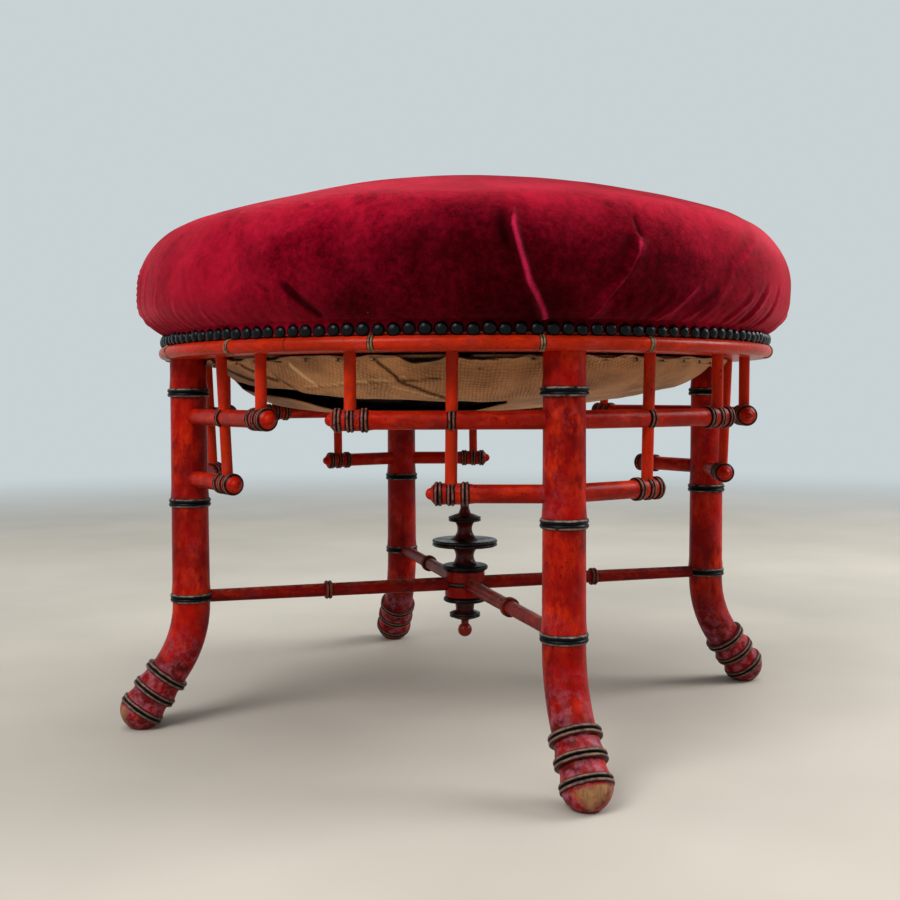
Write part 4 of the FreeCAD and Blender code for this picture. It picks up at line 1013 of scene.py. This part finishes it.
# The seam that has opened at the front left: degrees from the front leg, the radii of the two torn
# edges, and how far the inner one has dropped, in mm
tornSeam = [
    (-180, 176, 173, 0), (-150, 180, 177, 0), (-125, 198, 195, 0), (-108, 206, 202, 0.6),
    (-97, 210, 203, 2.0), (-85.5, 207, 200, 2.8), (-77, 200.5, 195.5, 3.2), (-69, 198.5, 194, 3.8),
    (-61, 196.5, 191, 5.2), (-55.5, 190.5, 184, 7.2), (-48, 183, 174, 8.8), (-42, 178.5, 168, 9.0),
    (-35, 180, 165, 8.8), (-23, 178, 162, 7.5), (-17.5, 175, 160, 6.0), (-11, 170, 161, 3.5),
    (-6, 167, 163, 1.0), (0, 166, 163, 0.2), (15, 165, 162, 0), (35, 168, 165, 0),
    (65, 176, 173, 0), (100, 176, 173, 0), (180, 176, 173, 0),
]
# Laps and tears: the run as degrees from the front leg and radius in mm, how far one side stands
# over the other, the strength of its painted line, a highlight above zero and shade below, and how
# wide
clothLaps = [
    (((-54.5, 220.5), (-53.5, 212.0), (-52.5, 202.5)), 1.8, 0.9),
    (((-56.0, 200.0), (-43.5, 204.0), (-34.5, 207.0), (-29.0, 208.0)), 1.6, 0.6),
    (((-55.8, 198.4), (-43.3, 202.4), (-34.3, 205.4)), 0.6, -0.55),
    (((-34.0, 221.5), (-32.5, 216.5), (-30.5, 206.5), (-27.5, 199.5), (-21.5, 183.0)), 1.8, -0.9),
    (((-29.5, 206.5), (-21.5, 208.5)), 1.1, -0.8),
    (((-32.5, 201.0), (-27.5, 193.5), (-23.0, 184.5)), 0.9, 0.5),
    (((-62.5, 220.0), (-61.5, 207.5), (-59.5, 197.0)), -2.2, -1.0, 2.0),
    (((-62.4, 209.0), (-61.0, 201.5)), -1.5, -1.4, 4.0),
    (((-73.0, 221.0), (-68.0, 213.0), (-64.0, 206.0)), 1.5, -0.8, 1.8),
    (((-84.0, 219.0), (-79.0, 213.0), (-74.0, 207.0)), 1.2, -0.9, 2.2),
    (((22.0, 221.0), (25.0, 208.0), (27.0, 190.0)), 0.7, -0.3),
    (((61.0, 221.0), (58.0, 207.0), (60.0, 192.0)), 0.8, -0.4),
    (((104.0, 221.0), (109.0, 203.0), (107.0, 180.0)), 0.9, -0.4),
    (((150.0, 221.0), (148.0, 202.0), (155.0, 178.0)), 1.0, -0.5),
    (((-112.0, 221.0), (-118.0, 208.0), (-116.0, 190.0)), 0.9, -0.5),
    (((-151.0, 221.0), (-148.0, 200.0), (-156.0, 176.0)), 0.8, -0.4),
]
# Places where the edge has come away from the rail: turn, half width in degrees, drop in mm
edgeGaps = [
    (-24.0, 3.8, 5.0), (-15.5, 3.2, 2.6), (-9.5, 4.0, 2.0), (-3.0, 1.6, 1.4), (-38.0, 3.0, 1.0),
    (-56.0, 2.2, 2.2), (-67.0, 2.8, 1.8), (-77.0, 3.0, 2.4), (-88.0, 3.4, 3.0), (10.0, 3.0, 1.4),
    (26.0, 3.4, 1.8), (47.0, 2.8, 1.2), (70.0, 3.4, 2.4), (103.0, 3.2, 1.8), (131.0, 3.6, 2.6),
    (160.0, 3.0, 1.6), (-122.0, 3.8, 2.8), (-149.0, 3.4, 1.8),
]
# the edge turned in under the rail: waves of its outline and of its contact, in mm
clothEdge = {
    "wave": ((52.0, 1.6), (17.0, 1.2), (6.0, 0.7)),
    "waveFrom": 224,
    "lift": ((60.0, 0.35), (19.0, 0.3), (7.0, 0.2)),
    "contact": 0.95,
    "gapNoise": ((30.0, 0.5), (7.0, 0.3)),
    "room": 3.6,
    "shadow": 0.9,
    "shadowFrom": 229,
}


def hammockDrop(radius, shoulder, side, middle):
    # two arcs that meet at the shoulder, as in the webbing above
    middleRadius = (shoulder ** 2 + middle ** 2) / (2 * middle)
    width = baseCloth["inner"] - shoulder
    sideRadius = (width ** 2 + side ** 2) / (
        2 * (side * (middleRadius - middle) - width * shoulder) / middleRadius)
    sideCentre = shoulder - sideRadius * shoulder / middleRadius
    if radius <= shoulder:
        return side + middle - middleRadius + math.sqrt(middleRadius ** 2 - radius ** 2)
    start = math.sqrt(sideRadius ** 2 - (shoulder - sideCentre) ** 2)
    return side - start + math.sqrt(max(sideRadius ** 2 - (radius - sideCentre) ** 2, 0))


def dropsAt(reach, turns):
    # the cloth hangs deeper where its seam has opened
    inner = baseCloth["inner"]
    steps = np.linspace(0, inner, 200)
    sound, torn = (np.interp(reach, steps, [hammockDrop(r, *baseCloth[k]) for r in steps])
                   for k in ("sound", "torn"))
    a, b, c, d = baseCloth["tornSide"]
    share = smoothRise(turns, a, b) * (1 - smoothRise(turns, c, d))
    drops = sound + share * (torn - sound + smoothRise(inner - reach, 0, 50))
    return np.where(reach < inner, drops, 0)


def seamAt(turns, column):
    # one column of the torn seam at each turn, smoothed
    known = np.array(tornSeam, dtype=float)
    spread = [np.interp(np.mod(turns + shift + 180, 360) - 180, known[:, 0], known[:, column])
              for shift in (-5, -2.5, 0, 2.5, 5)]
    return np.mean(spread, axis=0)


def turnsOf(places):
    # degrees from the front leg, from -180 to 180
    return (np.degrees(np.arctan2(places[:, 1], places[:, 0])) + 270) % 360 - 180


def lapLift(places, corners, step, tone, wide=1.35):
    # height of the lapped side and the painted highlight or shade of its line, from the flat
    # distance to the lap
    turns = [math.radians(turn - 90) for turn, _ in corners]
    run = [radius * mm * np.array((math.cos(turn), math.sin(turn)))
           for turn, (_, radius) in zip(turns, corners)]
    best, signed, _ = alongRun(places[:, :2], run, lambda forwards, _: (-forwards[1], forwards[0]))
    side = np.clip(signed / mm, -1, 1)
    lift = step * mm * side * np.exp(-best / (9 * mm)) * 0.5
    return lift, tone * np.exp(-(best / (wide * mm)) ** 2)


def clothRings():
    upper, lower = baseCloth["slit"]
    return [*baseCloth["rimRings"], *np.linspace(218, upper + 1.6, 20), upper, lower,
            *np.linspace(lower - 3, 100, 18), *np.linspace(90, 5, 10), 0.0]


def openSeam(piece):
    # the faces between the two torn edges are taken out
    upper, lower = baseCloth["slit"]
    bpy.ops.object.mode_set(mode="EDIT")
    bpy.ops.mesh.select_mode(type="FACE")
    bpy.ops.mesh.select_all(action="DESELECT")
    bpy.ops.object.mode_set(mode="OBJECT")
    turns = turnsOf(np.array([face.center for face in piece.data.polygons]))
    for face, turn in zip(piece.data.polygons, turns):
        face.select = (lower * mm < face.center.xy.length < upper * mm
                       and baseCloth["tornFrom"] < turn < baseCloth["tornTo"])
    bpy.ops.object.mode_set(mode="EDIT")
    bpy.ops.mesh.delete(type="FACE")
    bpy.ops.mesh.select_mode(type="VERT")
    bpy.ops.object.mode_set(mode="OBJECT")


def hangCloth(places, reach, turns, rimHeight):
    # gives the torn edges their places and lets the cloth hang; returns each point's new radius
    inner, (upper, lower) = baseCloth["inner"], baseCloth["slit"]
    outerEdge, innerEdge, dropped = (seamAt(turns, column) for column in (1, 2, 3))
    outside = reach > (upper + lower) / 2
    newReach = np.where(outside, inner - (inner - reach) * (inner - outerEdge) / (inner - upper),
                        reach * innerEdge / lower)
    newReach = np.where(reach > inner - 0.1, reach, newReach)
    start, power = baseCloth["tornBelly"]
    belly = np.clip((newReach - start) / np.maximum(innerEdge - start, 1), 0, 1) ** power
    curl = np.clip((inner - newReach) / np.maximum(inner - outerEdge, 1), 0, 1)
    sag = dropped * np.where(outside, baseCloth["tornCurl"] * curl, belly)
    places[:, :2] *= (newReach / np.maximum(reach, 1e-6))[:, None]
    places[:, 2] = rimHeight - (dropsAt(newReach, turns) + sag) * mm
    return newReach


def makeBaseCloth():
    rimHeight = clothTop - baseCloth["underRail"] * mm
    inner, (upper, lower) = baseCloth["inner"], baseCloth["slit"]
    rings = np.array(clothRings())
    heights = rimHeight - dropsAt(rings, np.full(len(rings), 90.0)) * mm
    piece = ringsByExtrusion("baseCloth", baseCloth["segments"],
                             [(float(r) * mm, float(z)) for r, z in zip(rings, heights)])
    crowdTowards(piece, baseCloth["tearMiddle"], baseCloth["towardsTear"])
    openSeam(piece)
    places = readVertices(piece, "co")
    reach, turns = np.hypot(places[:, 0], places[:, 1]) / mm, turnsOf(places)
    newReach = hangCloth(places, reach, turns, rimHeight)
    movePlaces(piece, places)

    normals = readVertices(piece, "normal")
    down = np.where(normals[:, 2:] > 0, -normals, normals)
    lift, tone = np.zeros(len(places)), np.zeros(len(places))
    # each lap lifts one side and gives its line a painted highlight or shade
    for lap in clothLaps:
        raised, line = lapLift(places, *lap)
        lift += raised
        tone = np.where(np.abs(line) > np.abs(tone), line, tone)
    lift += noiseAt(places, baseCloth["billows"]) * mm
    onUpper = (reach > (upper + lower) / 2) & (newReach < inner)
    lift = np.where(onUpper | (tone == 0), lift, lift * 0.6)
    places += down * (lift * np.clip((inner + 4 - newReach) / 9, 0, 1))[:, None]

    # the edge lies where its tacks and the webbing let it
    edge = clothEdge
    rim = np.clip((newReach - inner + 3) / 9, 0, 1)
    spread = noiseAt(places, edge["wave"]) * rim
    spread *= np.clip((newReach - edge["waveFrom"]) / 8, 0, 1)
    outwards = places[:, :2] / np.linalg.norm(places[:, :2], axis=1)[:, None]
    places[:, :2] += outwards * (spread * mm)[:, None]
    touching = np.clip(edge["contact"] + noiseAt(places, edge["lift"]), 0, 1)
    away = np.zeros(len(places))
    for turn, width, depth in edgeGaps:
        away += depth * np.exp(-(((turns - turn + 180) % 360 - 180) / width) ** 4)
    away *= 1 + noiseAt(places, edge["gapNoise"])
    rise = np.clip((newReach - inner + 6) / 12, 0, 1)
    places[:, 2] += (touching * edge["room"] * rim - away * rise) * mm
    # painted shadow under the places where the edge has come away from the rail
    dark = away / 3 * np.clip((newReach - edge["shadowFrom"]) / 5, 0, 1)
    dark = edge["shadow"] * np.clip(dark, 0, 1)
    tone = np.where(dark > np.abs(tone), -dark, tone)
    # a painted highlight along the upper torn edge of the seam
    tornEdge = np.abs(reach - upper) < 0.2
    tornEdge &= (turns > baseCloth["tornFrom"]) & (turns < baseCloth["tornTo"])
    tone = np.where(tornEdge, 0.5, tone)
    movePlaces(piece, places)
    keepTone(piece, "creaseTone", tone)

    thicken(piece, baseCloth["thickness"], 0)
    finish(piece, hessian("baseHessian", clothLook["tones"], clothLook["thread"],
                          clothLook["turn"], torn=True))
    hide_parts("base_cloth")


# Stage, lamps and camera

stage = {
    "floor": ("#a39d92", "#b3aca1"),
    "floorGrain": 400,
    "room": "#c8d2d5",
    "floorReach": 60.0,
    "fade": (1.3, 3.4),
    "ambient": 0.33,
}
lamps = {
    "window": {"place": (-1.8, -1.4, 2.2), "aim": (0, 0, 0.3), "size": 1.6, "watts": 72.0},
    "rightWindow": {"place": (2.2, -0.3, 1.8), "aim": (0, 0, 0.3), "size": 1.6, "watts": 66.0},
    "ceiling": {"place": (0.0, -0.2, 2.7), "aim": (0, 0, 0.2), "size": 2.6, "watts": 50.0},
}
cameraView = {
    "place": (-0.3070, -1.0224, 0.2885),
    "heading": 15.987,
    "pitch": -2.8005,
    "roll": -0.171,
    "lens": 45.96,
}


def seenDirectly(add):
    rays = add("rays")
    seen = add("MAXIMUM", rays["Is Camera Ray"], rays["Is Glossy Ray"])
    return add("MAXIMUM", seen, rays["Is Transmission Ray"])


def setStage():
    bpy.ops.mesh.primitive_plane_add(size=stage["floorReach"], location=(0, 0, 0))
    floor = bpy.context.object
    floor.name = "paleFloor"
    # pale painted floor, which goes over into the room's own colour away from the stool
    material, add, place = startMaterial("paleFloorPaint")
    tone = grain(add, place, stage["floorGrain"], 3, 0.55, (0.3, stage["floor"][0]),
                 (0.7, stage["floor"][1]))
    paint = add("surface", **{"Base Color": tone, "Roughness": 0.75})
    away = add("fade", add("length", place), *stage["fade"])
    share = add("MULTIPLY", away, seenDirectly(add))
    add("material", add("either", share, paint, add("glow", stage["room"], 1.0)))
    floor.data.materials.append(material)

    world = bpy.data.worlds.new("paleRoom")
    bpy.context.scene.world = world
    world.use_nodes = True
    world.node_tree.nodes.clear()
    add = partial(addNode, world.node_tree)
    soft, room = (add("sky", stage["room"], strength) for strength in (stage["ambient"], 1.0))
    add("world", add("either", seenDirectly(add), soft, room))


def hangLamps():
    for name, lamp in lamps.items():
        bpy.ops.object.light_add(type="AREA", location=lamp["place"])
        light = bpy.context.object
        light.name = name
        light.data.shape = "DISK"
        light.data.size = lamp["size"]
        light.data.energy = lamp["watts"]
        aim = Vector(lamp["aim"]) - Vector(lamp["place"])
        light.rotation_euler = aim.to_track_quat("-Z", "Y").to_euler()


def placeCamera():
    turn = Euler((math.radians(90 + cameraView["pitch"]), 0, -math.radians(cameraView["heading"])))
    roll = Matrix.Rotation(math.radians(cameraView["roll"]), 3, "Z")
    bpy.ops.object.camera_add(location=cameraView["place"],
                              rotation=(turn.to_matrix() @ roll).to_euler())
    camera = bpy.context.object
    camera.data.lens = cameraView["lens"]
    camera.data.sensor_width = 36
    bpy.context.scene.camera = camera
    print("stage, lamps and camera set")


dressFrame()
makeCushion()
makeNails()
makeRailNodes()
makeBaseCloth()
setStage()
hangLamps()
placeCamera()

bpy.context.view_layer.update()
